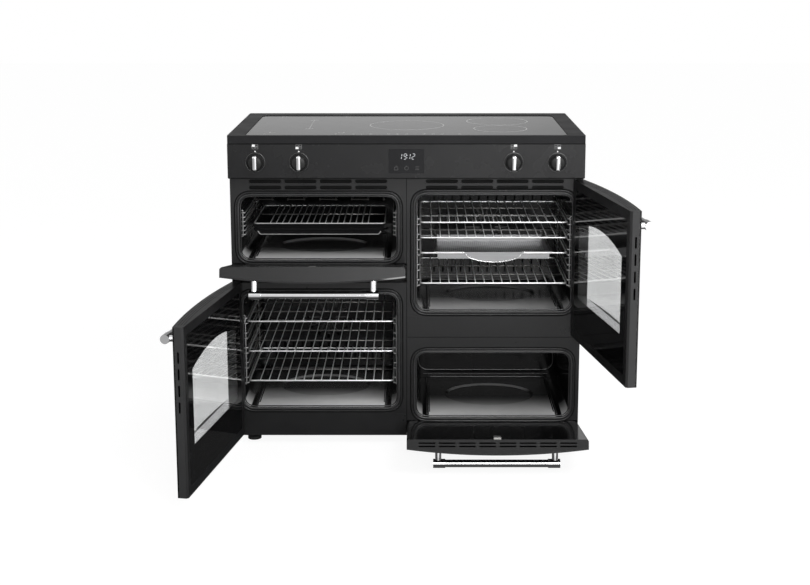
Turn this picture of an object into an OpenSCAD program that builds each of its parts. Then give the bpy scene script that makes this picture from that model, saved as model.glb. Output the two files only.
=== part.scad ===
// Free-standing range cooker: an induction hob over four ovens, shown with its doors open.
// Origin on the floor under the middle of the cabinet. +X to the right, +Y to the back, +Z up.

/* [Cabinet] */
// Width of the cabinet and of the hob
body_w = 1000; // [900:10:1200]
// Height from the floor to the rim of the hob
total_h = 915; // [900:1:960]
// Depth of the hob, front edge to back edge
hob_d = 548; // [520:2:640]
// How far the control fascia stands in front of the oven fronts
fascia_d = 36; // [28:1:60]
// Height of the control fascia
fascia_h = 97; // [85:1:120]
// Height of the feet under the cabinet
foot_h = 27; // [20:1:45]
// Thickness of the folded sheet
sheet_t = 2; // [1:0.5:3]

/* [Hob] */
// Height of the hob surround
hob_h = 23; // [18:1:40]
// Width of the surround beside the glass
hob_side = 48; // [30:1:80]
// Width of the surround in front of the glass
hob_front = 14; // [10:1:60]
// Width of the surround behind the glass
hob_back = 62; // [30:1:100]
// Thickness of the hob glass
hob_glass_t = 4; // [3:0.5:6]
// How far the glass lies below the rim of the surround
hob_sunk = 1.5; // [0.5:0.5:4]
// Corner radius of the glass
hob_glass_r = 18; // [8:1:30]

/* [Controls] */
// Distance of the outer knobs from the fascia's ends
knob_side = 78; // [60:1:120]
// Distance between an outer knob and the inner one beside it
knob_pitch = 122; // [70:1:200]
// Height of the knob axes above the lower edge of the fascia
knob_up = 45; // [40:1:55]
// Diameter of a knob's skirt
knob_d = 46; // [36:1:60]
// How far a knob stands out of the fascia
knob_len = 27; // [20:1:40]
// Diameter of a knob's shaft
knob_shaft_d = 6; // [5:0.5:8]
// Width of the display panel
display_w = 100; // [70:1:160]
// Height of the display panel
display_h = 69; // [40:1:80]

/* [Doors] */
// Height of a drop-down door
short_door_h = 294; // [280:1:310]
// Gap between two doors
door_gap = 3; // [2:0.5:5]
// Gap between the doors and the fascia above them
door_top_gap = 8; // [4:1:12]
// How far the lowest doors' edge is above the cabinet's underside
door_low = 8; // [4:1:12]
// Distance of the doors from the cabinet's sides
door_inset = 3; // [2.5:0.5:6]
// Gap between a closed door and the oven front
door_clear = 4.5; // [4:0.5:7]
// Thickness of a door at its sides
door_edge_t = 28; // [24:1:36]
// Thickness of a door in the middle of its bow
door_mid_t = 44; // [38:1:50]
// Thickness of the doors' glass
door_glass_t = 4; // [3:0.5:5]
// Wall of a door's frame
door_wall = 3; // [2:0.5:5]
// Bevel along the inner edges of a door
door_bevel = 5; // [4:0.5:8]
// Distance of a tall door's hinge axis from its side edge
pin_side = 11; // [10:0.5:13]
// Distance of a hinge axis from the door's inner face
pin_in = 12; // [11:0.5:14]
// Diameter of the hinge pins
pin_d = 7; // [5:0.5:8]
// Angle to which the tall doors stand open
tall_open = 100; // [90:1:110]
// Angle to which the grill's door stands open
grill_open = 79; // [70:1:90]
// Angle to which the lowest right door stands open
slow_open = 81; // [70:1:90]
// Distance of a tall door's window from the door's sides
window_side = 60.75; // [45:0.25:100]
// Distance of the window's straight sides below the door's upper edge
window_top = 126; // [80:1:180]
// Rise of the window's arched top
window_rise = 30; // [15:1:45]
// Distance of the window's lower edge from the door's lower edge
window_up = 124; // [90:1:160]

/* [Handles] */
// Length of a handle, end to end
handle_len = 350; // [250:1:420]
// Diameter of a handle's bar
bar_d = 21; // [16:1:26]
// Diameter of a handle's end caps
cap_d = 25; // [20:1:30]
// Length of a handle's end caps
cap_len = 33; // [20:1:45]
// Diameter of a handle's posts
post_d = 17; // [12:1:20]
// Distance of the posts from the handle's ends
post_in = 14; // [12:1:24]
// Distance of the bar's axis from the door's bowed face
bar_out = 33; // [30:1:50]
// Distance of the bar's axis from the door's top edge
bar_down = 55; // [40:1:80]

/* [Ovens] */
// Distance of an oven's mouth from the cabinet's side and from the middle
mouth_side = 18; // [15:1:40]
// Corner radius of an oven's mouth
mouth_r = 38; // [20:1:60]
// Width of the door seal round a mouth
seal_w = 8; // [6:0.5:12]
// How far a seal stands out of the oven front
seal_proud = 3; // [2:0.5:3.5]
// Room behind the ovens for the fans' motors
oven_behind = 92; // [82:1:130]
// Height of the grill's mouth above the lower edge of its door
grill_mouth_up = 52; // [46:1:60]
// Distance of the grill's mouth below the upper edge of its door
grill_mouth_top = 41; // [37:1:80]
// Height of the left tall mouth above the lower edge of its door
main_mouth_up = 70; // [40:1:100]
// Distance of the left tall mouth below the upper edge of its door
main_mouth_top = 29; // [20:1:80]
// Height of the right tall mouth above the lower edge of its door
tall_mouth_up = 63; // [40:1:90]
// Distance of the right tall mouth below the upper edge of its door
tall_mouth_top = 36; // [32:1:80]
// Height of the lowest right mouth above the lower edge of its door
slow_mouth_up = 40; // [36:1:50]
// Distance of the lowest right mouth below the upper edge of its door
slow_mouth_top = 43; // [30:1:80]
// How far a drop-down door's hinge axis is below the mouth
drop_pin_down = 13; // [13:0.5:16]
// Depth of the recess that a drop-down door's lower edge swings into
recess_d = 32; // [30:1:40]
// Width of the dish pressed into an oven's floor
dish_w = 272; // [200:1:300]
// Depth of that dish, front to back
dish_l = 210; // [150:1:240]
// How deep the dish is pressed
dish_t = 5; // [3:0.5:6]

/* [Racks and pans] */
// Diameter of the wire of a rack's rim
rim_d = 5; // [4:0.5:7]
// Diameter of a rack's cross wires
wire_d = 3; // [2.5:0.5:4]
// Distance between a rack's cross wires
wire_pitch = 25.5; // [18:0.5:36]
// Gap between a rack's back and the fan cover
rack_end = 5; // [3:1:40]
// Distance of the racks behind the oven front
rack_back = 27; // [20:1:32]
// Gap between a rack's side and the ladder beside it
rack_side_gap = 1; // [0.5:0.5:3]
// Height of the lowest runner above the left tall oven's floor
main_runner_up = 66; // [50:1:80]
// Distance of the highest runner below the left tall oven's roof
main_runner_top = 95; // [60:1:110]
// Height of the lowest runner above the right tall oven's floor
tall_runner_up = 69; // [50:1:80]
// Distance of the highest runner below the right tall oven's roof
tall_runner_top = 92; // [60:1:110]
// Height of the lowest runner above the grill's floor
grill_runner_up = 68; // [50:1:72]
// Distance of the highest runner below the grill's roof
grill_runner_top = 66; // [60:1:70]
// Distance between the grill pan's side and the ladder beside it
pan_side = 24; // [14:1:60]
// Depth of the grill pan, front to back
pan_l = 290; // [220:1:320]
// Height of the grill pan
pan_h = 30; // [20:1:34]
// Distance between the stainless tray's side and the side of its carrier
tray_side = 52; // [20:1:80]
// Depth of the stainless tray, front to back
tray_l = 240; // [180:1:280]
// Height of the stainless tray
tray_h = 20; // [15:1:28]

/* [Hidden] */

// Small distances that the pieces share
eps = 0.01;
glass_gap = 0.5;
run_clear = 0.06;
slide_clear = 0.3;
shaft_room = 2;
wire_fn = 8;
round_fn = 48;

// Cabinet levels and planes
fascia_y = -hob_d / 2;
front_y = fascia_y + fascia_d;
back_y = hob_d / 2;
oven_d = hob_d - fascia_d - oven_behind;
carcass_top = total_h - hob_h;
fascia_z = carcass_top - fascia_h;
knob_z = fascia_z + knob_up;
flange = 15;
half_w = body_w / 2;

// Doors: where each closed one stands
door_w = half_w - door_inset - door_gap / 2;
door_in_y = front_y - door_clear;
doors_z0 = foot_h + door_low;
doors_z1 = fascia_z - door_top_gap;
tall_door_h = doors_z1 - doors_z0 - short_door_h - door_gap;
pin_y = door_in_y - pin_in;
tall_pin_x = half_w - door_inset - pin_side;
bow_sag = door_mid_t - door_edge_t;
bow_r = (door_w * door_w / 4 + bow_sag * bow_sag) / (2 * bow_sag);
bow_fn = 720;

// One row per oven: side, door's lower edge, door's height, mouth's lower edge, mouth's height,
// and for its ladders the lowest runner's height, the highest one's distance from the roof, the gap
// to the guard above each runner and the number of levels
grill_z = doors_z1 - short_door_h;
tall_z = doors_z1 - tall_door_h;
guard_up = 16;
grill_guard_up = 12.5;
GRILL = [-1, grill_z, short_door_h, grill_z + grill_mouth_up,
    short_door_h - grill_mouth_up - grill_mouth_top,
    grill_runner_up, grill_runner_top, grill_guard_up, 3];
MAIN = [-1, doors_z0, tall_door_h, doors_z0 + main_mouth_up,
    tall_door_h - main_mouth_up - main_mouth_top,
    main_runner_up, main_runner_top, guard_up, 5];
TALL = [1, tall_z, tall_door_h, tall_z + tall_mouth_up,
    tall_door_h - tall_mouth_up - tall_mouth_top,
    tall_runner_up, tall_runner_top, guard_up, 5];
SLOW = [1, doors_z0, short_door_h, doors_z0 + slow_mouth_up,
    short_door_h - slow_mouth_up - slow_mouth_top];
function side(oven) = oven[0];
function door_z(oven) = oven[1];
function door_h(oven) = oven[2];
function mouth_z(oven) = oven[3];
function mouth_h(oven) = oven[4];
function mid_x(oven) = side(oven) * half_w / 2;
function door_x(oven) = side(oven) * (door_gap / 2 + door_w / 2);
function drop_pin_z(oven) = mouth_z(oven) - drop_pin_down;
// The oven's own walls, inside the seal
function floor_z(oven) = mouth_z(oven) + seal_w;
function roof_z(oven) = mouth_z(oven) + mouth_h(oven) - seal_w;
mouth_w = half_w - 2 * mouth_side;
inner_half = mouth_w / 2 - seal_w;
oven_back_y = front_y + oven_d;
liner_y = front_y + sheet_t;
flange_w = 8;

// Seams between the four oven fronts, level with the gaps between the doors
seam_down = 8;
left_seam = grill_z - seam_down;
right_seam = tall_z - seam_down;

// Drop-down doors' hinges
arm_w = 8;
arm_h = 12;
arm_from_edge = 55;
notch_w = 16;
boss_w = 40;
drop_pin_len = 34;

// Ladders and racks
ladder_over = 10;
ladder_weld = 1;
ladder_d = 5;
ladder_wall_gap = 5;
ladder_x = inner_half - ladder_wall_gap - ladder_d / 2;
runner_x = ladder_x - ladder_d + ladder_weld;
rack_half = ladder_x - ladder_d / 2 - rack_side_gap;
rack_rise = rim_d / 2 + ladder_d / 2 + slide_clear;
fan_gap = 46;
rack_d = oven_d - sheet_t - fan_gap - rack_back - rack_end;
ladder_l = rack_d + ladder_over;
rack_y = front_y + rack_back;
function guard(oven) = oven[7];
function levels(oven) = oven[8];
function level_pitch(oven) = (roof_z(oven) - floor_z(oven) - oven[5] - oven[6]) / (levels(oven) - 1);
function runner_z(oven, n) = floor_z(oven) + oven[5] + n * level_pitch(oven);

// Grill pan
pan_back = 26;
pan_y = front_y + pan_back;
pan_w = 2 * (ladder_x - ladder_d / 2 - pan_side);
pan_wall = 1.5;
pan_slope = 14;
element_down = 22;

//----------------------------------------------------------------------------
// Shapes that repeat

module block(x, y, z) {
    translate([x[0], y[0], z[0]]) cube([x[1] - x[0], y[1] - y[0], z[1] - z[0]]);
}

// A rectangle with round corners, about the origin
module round_rect(w, h, r) {
    square([w - 2 * r, h], center = true);
    square([w, h - 2 * r], center = true);
    for (x = [-1, 1], y = [-1, 1])
        translate([x * (w / 2 - r), y * (h / 2 - r)]) circle(r = r, $fn = round_fn);
}

// Extrudes an outline drawn in X and Z from y0 to y1
module along_y(y0, y1) {
    translate([0, y1, 0]) rotate([90, 0, 0]) linear_extrude(y1 - y0) children();
}

module rod_x(x0, x1, y, z, d, n = wire_fn) {
    translate([x0, y, z]) rotate([0, 90, 0]) rotate([0, 0, 180 / n]) cylinder(d = d, h = x1 - x0, $fn = n);
}

module rod_y(x, y0, y1, z, d, n = wire_fn) {
    translate([x, y0, z]) rotate([-90, 0, 0]) rotate([0, 0, 180 / n]) cylinder(d = d, h = y1 - y0, $fn = n);
}

module rod_z(x, y, z0, z1, d, n = wire_fn) {
    translate([x, y, z0]) rotate([0, 0, 180 / n]) cylinder(d = d, h = z1 - z0, $fn = n);
}

// The outline of an oven's mouth, made wider and taller all round by grow
module mouth(oven, grow = 0) {
    translate([mid_x(oven), mouth_z(oven) + mouth_h(oven) / 2])
        round_rect(mouth_w + 2 * grow, mouth_h(oven) + 2 * grow, mouth_r + grow);
}

//----------------------------------------------------------------------------
// Cabinet

module side_panels() {
    color([0.07, 0.07, 0.075]) for (s = [0, 1]) mirror([s, 0, 0]) {
        block([-half_w, -half_w + sheet_t], [front_y, back_y], [foot_h, carcass_top]);
        block([-half_w + sheet_t - eps, -half_w + flange], [back_y - sheet_t, back_y],
            [foot_h, carcass_top]);
    }
}

louvre_w = 70;
louvre_h = 7;
louvre_pitch = 18;
louvre_rows = 6;
louvre_down = 60;
cable_hole_d = 28;
cable_hole_in = 130;
cable_hole_up = 90;

module back_panel() {
    color([0.55, 0.56, 0.58]) difference() {
        block([-half_w + flange, half_w - flange], [back_y - sheet_t, back_y],
            [foot_h + sheet_t, carcass_top]);
        for (x = [-1, 1], n = [0:louvre_rows - 1])
            translate([x * half_w / 2, 0, carcass_top - louvre_down - n * louvre_pitch])
                along_y(back_y - sheet_t - 1, back_y + 1)
                    round_rect(louvre_w, louvre_h, louvre_h / 2 - eps);
        translate([half_w - cable_hole_in, 0, foot_h + cable_hole_up])
            along_y(back_y - sheet_t - 1, back_y + 1) circle(d = cable_hole_d, $fn = round_fn);
    }
}

tray_front_y = front_y + recess_d + sheet_t;

module base_tray() {
    color([0.3, 0.3, 0.32]) difference() {
        block([-half_w + sheet_t, half_w - sheet_t], [tray_front_y, back_y - sheet_t],
            [foot_h, foot_h + flange]);
        block([-half_w + 2 * sheet_t, half_w - 2 * sheet_t],
            [tray_front_y + sheet_t, back_y - 2 * sheet_t],
            [foot_h + sheet_t, foot_h + flange + 1]);
    }
}

foot_d = 40;
foot_pad_h = 9;
foot_stem_d = 12;
foot_in = 48;

module levelling_feet() {
    color([0.12, 0.12, 0.12])
        for (x = [-1, 1], y = [tray_front_y + foot_d / 2, back_y - foot_in])
            translate([x * (half_w - foot_in), y, 0]) {
                cylinder(d = foot_d, h = foot_pad_h, $fn = round_fn);
                cylinder(d = foot_stem_d, h = foot_h, $fn = round_fn);
            }
}

//----------------------------------------------------------------------------
// Hob

hob_wall = 3;
hob_lip = 12;
hob_r = 6;
glass_w = body_w - 2 * hob_side;
glass_l = hob_d - hob_front - hob_back;
glass_y = (hob_front - hob_back) / 2;
glass_z1 = total_h - hob_sunk;
glass_z0 = glass_z1 - hob_glass_t;

module hob_surround() {
    color([0.06, 0.06, 0.065]) difference() {
        translate([0, 0, carcass_top]) linear_extrude(hob_h) round_rect(body_w, hob_d, hob_r);
        translate([0, 0, carcass_top - 1]) linear_extrude(hob_h + 1 - hob_wall - hob_glass_t)
            round_rect(body_w - 2 * hob_wall, hob_d - 2 * hob_wall, hob_r - hob_wall);
        translate([0, glass_y, glass_z0]) linear_extrude(hob_h)
            round_rect(glass_w, glass_l, hob_glass_r);
        translate([0, glass_y, carcass_top]) linear_extrude(hob_h)
            round_rect(glass_w - 2 * hob_lip, glass_l - 2 * hob_lip, hob_glass_r - hob_lip / 2);
    }
}

module hob_glass() {
    color([0.03, 0.03, 0.035]) translate([0, glass_y, glass_z0]) linear_extrude(hob_glass_t)
        round_rect(glass_w - 2 * glass_gap, glass_l - 2 * glass_gap, hob_glass_r - glass_gap);
}

// The left pair of zones fills the glass from front to back
flex_in = 172;
flex_front = 60;
flex_back = 22;
flex_gap = 10;
flex_d = (glass_l - flex_front - flex_back - flex_gap) / 2;
flex_x = flex_in - glass_w / 2;
centre_d = 220;
centre_back = 2;
right_in = 180;
right_x = glass_w / 2 - right_in;
big_d = 186;
big_back = 98;
small_d = 156;
small_front = 80;
// Zones of the hob: x, y and diameter
ZONES = [
    [flex_x, glass_y - glass_l / 2 + flex_front + flex_d / 2, flex_d],
    [flex_x, glass_y + glass_l / 2 - flex_back - flex_d / 2, flex_d],
    [0, glass_y + centre_back, centre_d],
    [right_x, glass_y + big_back, big_d],
    [right_x, glass_y - small_front, small_d],
];
coil_h = 8;
coil_bore = 50;

module induction_coils() {
    color([0.72, 0.45, 0.2]) for (z = ZONES) translate([z[0], z[1], glass_z0 - coil_h])
        difference() {
            cylinder(d = z[2], h = coil_h, $fn = round_fn);
            translate([0, 0, -1]) cylinder(d = coil_bore, h = coil_h + 2, $fn = round_fn);
        }
}

//----------------------------------------------------------------------------
// Controls

knob_outer_x = half_w - knob_side;
knob_inner_x = knob_outer_x - knob_pitch;
knobs_x = [-knob_outer_x, -knob_inner_x, knob_inner_x, knob_outer_x];
switch_d = 34;
switch_len = 26;
switch_wall = 3;
shaft_end = 4;
display_t = 3;
display_r = 3;

module control_fascia() {
    color([0.1, 0.1, 0.11]) difference() {
        block([-half_w, half_w], [fascia_y, front_y], [fascia_z, carcass_top]);
        block([-half_w + sheet_t, half_w - sheet_t], [fascia_y + sheet_t, front_y + 1],
            [fascia_z + sheet_t, carcass_top - sheet_t]);
        for (x = knobs_x) translate([x, 0, knob_z]) along_y(fascia_y - 1, fascia_y + sheet_t + 1)
            circle(d = knob_shaft_d + shaft_room, $fn = round_fn);
        translate([0, 0, fascia_z + fascia_h / 2]) along_y(fascia_y - 1, fascia_y + sheet_t + 1)
            round_rect(display_w, display_h, display_r);
    }
}

module display_panel() {
    color([0.02, 0.02, 0.025]) translate([0, 0, fascia_z + fascia_h / 2])
        along_y(fascia_y, fascia_y + display_t)
            round_rect(display_w, display_h, display_r);
}

knob_gap = 0.6;
knob_step = 1;
skirt_h = 8;
grip_w = 11;
grip_up = 2;
grip_z = skirt_h + grip_up;
grip_top = 6;
knob_taper = 3;

module knob(x) {
    y = fascia_y - knob_gap;
    color([0.05, 0.05, 0.05]) translate([x, y, knob_z]) rotate([90, 0, 0]) {
        difference() {
            union() {
                cylinder(d = knob_d, h = skirt_h, $fn = round_fn);
                translate([0, 0, skirt_h])
                    cylinder(d1 = knob_d - 2 * knob_step, d2 = knob_d - 2 * knob_step - 2 * knob_taper,
                        h = knob_len - grip_top - skirt_h, $fn = round_fn);
            }
            translate([-grip_w / 2, -knob_d, grip_z]) cube([grip_w, 2 * knob_d, knob_len]);
        }
        rotate([180, 0, 0]) cylinder(d = knob_shaft_d, h = switch_len - shaft_end, $fn = round_fn);
    }
    color([0.8, 0.8, 0.82]) translate([x, y, knob_z]) rotate([90, 0, 0])
        intersection() {
            translate([-grip_w / 2 + run_clear, -knob_d / 2, grip_z + run_clear])
                cube([grip_w - 2 * run_clear, knob_d, knob_len - grip_z - run_clear]);
            cylinder(d = knob_d - 2 * knob_step, h = knob_len, $fn = round_fn);
        }
}

//----------------------------------------------------------------------------
// Oven fronts

slot_count = 4;
slot_side = 50;
slot_gap = 9;
slot_pitch = (half_w - 2 * slot_side) / slot_count;
slot_l = slot_pitch - slot_gap;
slot_h = 11;
slot_rows = [9, 27];

// Two rows of cooling slots under the fascia
module cooling_slots(oven) {
    for (n = [0:slot_count - 1], z = slot_rows)
        translate([mid_x(oven) + (n - (slot_count - 1) / 2) * slot_pitch, fascia_z - z - slot_h / 2])
            round_rect(slot_l, slot_h, slot_h / 2 - eps);
}

return_d = recess_d + sheet_t;

// A sheet front with its mouth, side folds, a baffle behind any cooling slots and, under a
// drop-down door, a recess
module front_frame(oven, z0, z1, drop, slots) {
    s = side(oven);
    outer = half_w - sheet_t;
    step_z = mouth_z(oven) - sheet_t;
    low = drop ? step_z : z0;
    color([0.08, 0.08, 0.085]) mirror([s < 0 ? 1 : 0, 0, 0]) {
        difference() {
            block([0, outer], [front_y, front_y + sheet_t], [low, z1]);
            mirror([s < 0 ? 1 : 0, 0, 0]) along_y(front_y - 1, front_y + sheet_t + 1) {
                mouth(oven);
                if (slots) cooling_slots(oven);
            }
        }
        block([0, sheet_t], [front_y, front_y + return_d], [low, z1]);
        if (slots) block([0, outer], [front_y + recess_d, front_y + return_d],
            [mouth_z(oven) + mouth_h(oven), z1]);
        if (drop) {
            block([0, outer], [front_y, front_y + return_d], [step_z, step_z + sheet_t]);
            block([0, outer], [front_y + recess_d, front_y + return_d], [z0, step_z + sheet_t]);
        }
    }
}

module front_frame_grill() {
    front_frame(GRILL, left_seam + sheet_t, fascia_z, true, true);
}

module front_frame_main() {
    front_frame(MAIN, foot_h, left_seam, false, false);
    color([0.08, 0.08, 0.085]) block([-half_w + sheet_t, 0], [front_y, front_y + return_d],
        [left_seam, left_seam + sheet_t]);
}

module front_frame_tall() { front_frame(TALL, right_seam, fascia_z, false, true); }

module front_frame_slow() { front_frame(SLOW, foot_h + flange, right_seam, true, false); }

//----------------------------------------------------------------------------
// Oven cavities

dish_back = 4;
dish_y = front_y + oven_d / 2 + dish_back;
dish_slope = 8;
dish_pad = 8;
gutter_side = 38;
gutter_x = inner_half - gutter_side;
gutter_d = 10;
gutter_sunk = 2;
gutter_front = 45;
gutter_back = 60;
emboss_side = 26;
emboss_top = 23;

module cavity(oven, embossed_back = false, shaft_hole = false) {
    mid_z = mouth_z(oven) + mouth_h(oven) / 2;
    clear_h = mouth_h(oven) - 2 * seal_w;
    clear_r = mouth_r - seal_w;
    x = mid_x(oven);
    color([0.05, 0.05, 0.055]) difference() {
        union() {
            translate([x, 0, mid_z]) along_y(liner_y, oven_back_y)
                round_rect(2 * inner_half + 2 * sheet_t, clear_h + 2 * sheet_t, clear_r + sheet_t);
            intersection() {
                along_y(liner_y, liner_y + sheet_t) mouth(oven, flange_w);
                block([x - half_w, x + half_w], [liner_y - 1, liner_y + sheet_t + 1],
                    [mouth_z(oven), fascia_z]);
            }
            block([x - dish_w / 2 - dish_pad, x + dish_w / 2 + dish_pad],
                [dish_y - dish_l / 2 - dish_pad, dish_y + dish_l / 2 + dish_pad],
                [floor_z(oven) - dish_t - sheet_t, floor_z(oven) - sheet_t / 2]);
        }
        translate([x, 0, mid_z]) along_y(liner_y - 1, oven_back_y - sheet_t)
            round_rect(2 * inner_half, clear_h, clear_r);
        translate([x, dish_y, floor_z(oven) - dish_t]) scale([1, dish_l / dish_w, 1])
            cylinder(d1 = dish_w - 2 * dish_slope, d2 = dish_w, h = dish_t + eps, $fn = round_fn);
        if (shaft_hole) translate([x, 0, mid_z]) along_y(oven_back_y - 2 * sheet_t, oven_back_y + 1)
            circle(d = shaft_d + shaft_room, $fn = round_fn);
    }
    color([0.05, 0.05, 0.055]) {
        for (s = [-1, 1]) rod_y(x + s * gutter_x, front_y + gutter_front,
            oven_back_y - gutter_back, floor_z(oven) - gutter_sunk, gutter_d);
        if (embossed_back) translate([x, 0, mid_z])
            along_y(oven_back_y - 2 * sheet_t, oven_back_y - sheet_t)
                round_rect(2 * inner_half - 2 * emboss_side, clear_h - 2 * emboss_top, clear_r);
    }
}

module door_seals() {
    color([0.15, 0.15, 0.15]) for (oven = [GRILL, MAIN, TALL, SLOW])
        difference() {
            along_y(front_y - seal_proud, liner_y) mouth(oven, -glass_gap);
            along_y(front_y - seal_proud - 1, liner_y + 1) mouth(oven, -seal_w);
        }
}

//----------------------------------------------------------------------------
// Wire ladders beside the racks

ladder_tail = 12;
ladder_end = 6;
runner_out = 2;
stud_d = 6;

module ladder(oven, s) {
    x = mid_x(oven) + s * ladder_x;
    run_x = mid_x(oven) + s * runner_x;
    low = runner_z(oven, 0);
    high = runner_z(oven, levels(oven) - 1) + guard(oven);
    ends = [rack_y + ladder_end, rack_y + ladder_l - ladder_end];
    for (y = ends) {
        rod_z(x, y, low - ladder_tail, high + ladder_tail, ladder_d);
        for (z = [low - ladder_tail / 2, high + ladder_tail / 2]) {
            wall_x = mid_x(oven) + s * inner_half;
            rod_x(min(x, wall_x), max(x, wall_x), y, z, stud_d);
        }
    }
    for (n = [0:levels(oven) - 1], up = [0, guard(oven)])
        rod_y(run_x, rack_y - runner_out, rack_y + ladder_l, runner_z(oven, n) + up, ladder_d);
}

module side_ladders() {
    color([0.75, 0.75, 0.77]) for (s = [-1, 1]) {
        ladder(MAIN, s);
        ladder(TALL, s);
        ladder(GRILL, s);
    }
}

//----------------------------------------------------------------------------
// Racks

cross_bars = [0, 1 / 3, 2 / 3, 1];
// A cross bar is a little thinner than the rim and lies a little lower, and the wires sink into it
bar_wire = rim_d - 0.6;
bar_low = 0.2;
weld = 0.7;
wire_short = 0.8;
wire_side = 24;

// A wire rack whose rim has its axis at height z
module rack(oven, z) {
    x = mid_x(oven);
    half = rack_half - rim_d / 2;
    wires = floor((half - wire_side) / wire_pitch);
    color([0.8, 0.8, 0.82]) {
        for (s = [-1, 1]) rod_y(x + s * half, rack_y, rack_y + rack_d, z, rim_d);
        for (t = cross_bars)
            rod_x(x - half, x + half, rack_y + rim_d / 2 + t * (rack_d - rim_d), z - bar_low, bar_wire);
        for (n = [-wires:wires]) rod_y(x + n * wire_pitch, rack_y + wire_short,
            rack_y + rack_d - wire_short, z - bar_low + (bar_wire + wire_d) / 2 - weld, wire_d);
    }
}

function rack_z(oven, n) = runner_z(oven, n) + rack_rise;

//----------------------------------------------------------------------------
// Stainless tray on its wire carrier

carrier_n = 2;
tray_wall = 1;
tray_lip = 9;
tray_w = 2 * (rack_half - tray_side);
tray_gap = 0.4;
// Half widths of the tray's front plate at its top and at its shoulders, and their depths
lip_half = 85;
lip_low_half = 71;
lip_shoulder = 16;
lip_drop = 29;
lip_r = 200;

module tray_carrier() {
    z = rack_z(TALL, carrier_n);
    x = mid_x(TALL);
    half = rack_half - rim_d / 2;
    color([0.8, 0.8, 0.82]) {
        for (s = [-1, 1]) {
            rod_y(x + s * half, rack_y, rack_y + rack_d, z, rim_d);
            rod_y(x + s * (tray_w / 2 + rim_d / 2 + tray_gap), rack_y + wire_short,
                rack_y + rack_d - wire_short, z, rim_d);
        }
        for (y = [rim_d / 2, tray_l + 2 * rim_d, rack_d - rim_d / 2])
            rod_x(x - half, x + half, rack_y + y, z - bar_low, bar_wire);
    }
}

module steam_tray() {
    z = rack_z(TALL, carrier_n) + rim_d / 2;
    x = mid_x(TALL);
    y0 = rack_y + rim_d + tray_gap;
    color([0.7, 0.7, 0.71]) {
        difference() {
            union() {
                block([x - tray_w / 2, x + tray_w / 2], [y0, y0 + tray_l], [z - tray_h, z]);
                block([x - tray_w / 2 - tray_lip, x + tray_w / 2 + tray_lip],
                    [y0, y0 + tray_l], [z, z + tray_wall]);
            }
            block([x - tray_w / 2 + tray_wall, x + tray_w / 2 - tray_wall],
                [y0 + tray_wall, y0 + tray_l - tray_wall], [z - tray_h + tray_wall, z + 2]);
        }
        // Curved plate hung over the carrier's front wire, for lifting the tray
        block([x - lip_half, x + lip_half], [rack_y - 2 * tray_wall, y0 + tray_wall],
            [z, z + tray_wall]);
        translate([x, 0, z + tray_wall]) along_y(rack_y - 2 * tray_wall, rack_y - tray_wall)
            intersection() {
                translate([0, lip_r - lip_drop]) circle(r = lip_r, $fn = 180);
                polygon([[-lip_half, 0], [lip_half, 0], [lip_low_half, -lip_shoulder],
                    [lip_low_half, -lip_drop], [-lip_low_half, -lip_drop],
                    [-lip_low_half, -lip_shoulder]]);
            }
    }
}

//----------------------------------------------------------------------------
// Grill pan and grid

wing_h = 2;
wing_gap = 3;
wing_end = 10;
pan_z1 = runner_z(GRILL, 1) + ladder_d / 2 + slide_clear + wing_h;
grid_wire = 4;
grid_pitch = 17.5;
grid_side = 36;
grid_end = 4;

// A rectangle's outline at height z as a thin slab, for the pan's sloping walls
module pan_slab(grow, z) {
    translate([mid_x(GRILL) - pan_w / 2 - grow, pan_y - grow, z])
        cube([pan_w + 2 * grow, pan_l + 2 * grow, eps]);
}

module pan_body(shrink, z0, z1) {
    hull() {
        pan_slab(-pan_slope - shrink, z0);
        pan_slab(-shrink, z1);
    }
}

module grill_pan() {
    x = mid_x(GRILL);
    wing = ladder_x - ladder_d / 2 - wing_gap;
    color([0.04, 0.04, 0.045]) difference() {
        union() {
            pan_body(0, pan_z1 - pan_h, pan_z1 - eps);
            block([x - wing, x + wing], [pan_y + wing_end, pan_y + pan_l - wing_end],
                [pan_z1 - wing_h, pan_z1]);
        }
        pan_body(pan_wall, pan_z1 - pan_h + pan_wall, pan_z1 + eps);
    }
}

module grill_grid() {
    x = mid_x(GRILL);
    z = pan_z1 + grid_wire / 2;
    half = pan_w / 2 - 1;
    y0 = pan_y + grid_end;
    y1 = pan_y + pan_l - grid_end;
    count = floor((half - grid_side) / grid_pitch);
    color([0.6, 0.6, 0.62]) {
        for (y = [y0, (y0 + y1) / 2, y1]) rod_x(x - half, x + half, y, z, grid_wire);
        for (s = [-1, 1]) rod_y(x + s * (half - grid_wire), y0 - grid_wire / 2 - wire_short,
            y1 + grid_wire / 2 + wire_short, z + bar_low, grid_wire + bar_low);
        for (n = [-count:count]) rod_y(x + n * grid_pitch, y0 - grid_wire / 2 + bar_low,
            y1 + grid_wire / 2 - bar_low, z + (grid_wire + wire_d) / 2 - weld, wire_d);
    }
}

//----------------------------------------------------------------------------
// Elements, fans and lamps

element_d = 7;
element_turns = 4;
element_side = 40;
element_pitch = (inner_half - element_side) / element_turns;
element_front = 70;
element_back = 50;
hanger_d = 4;
hanger_in = 40;

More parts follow.
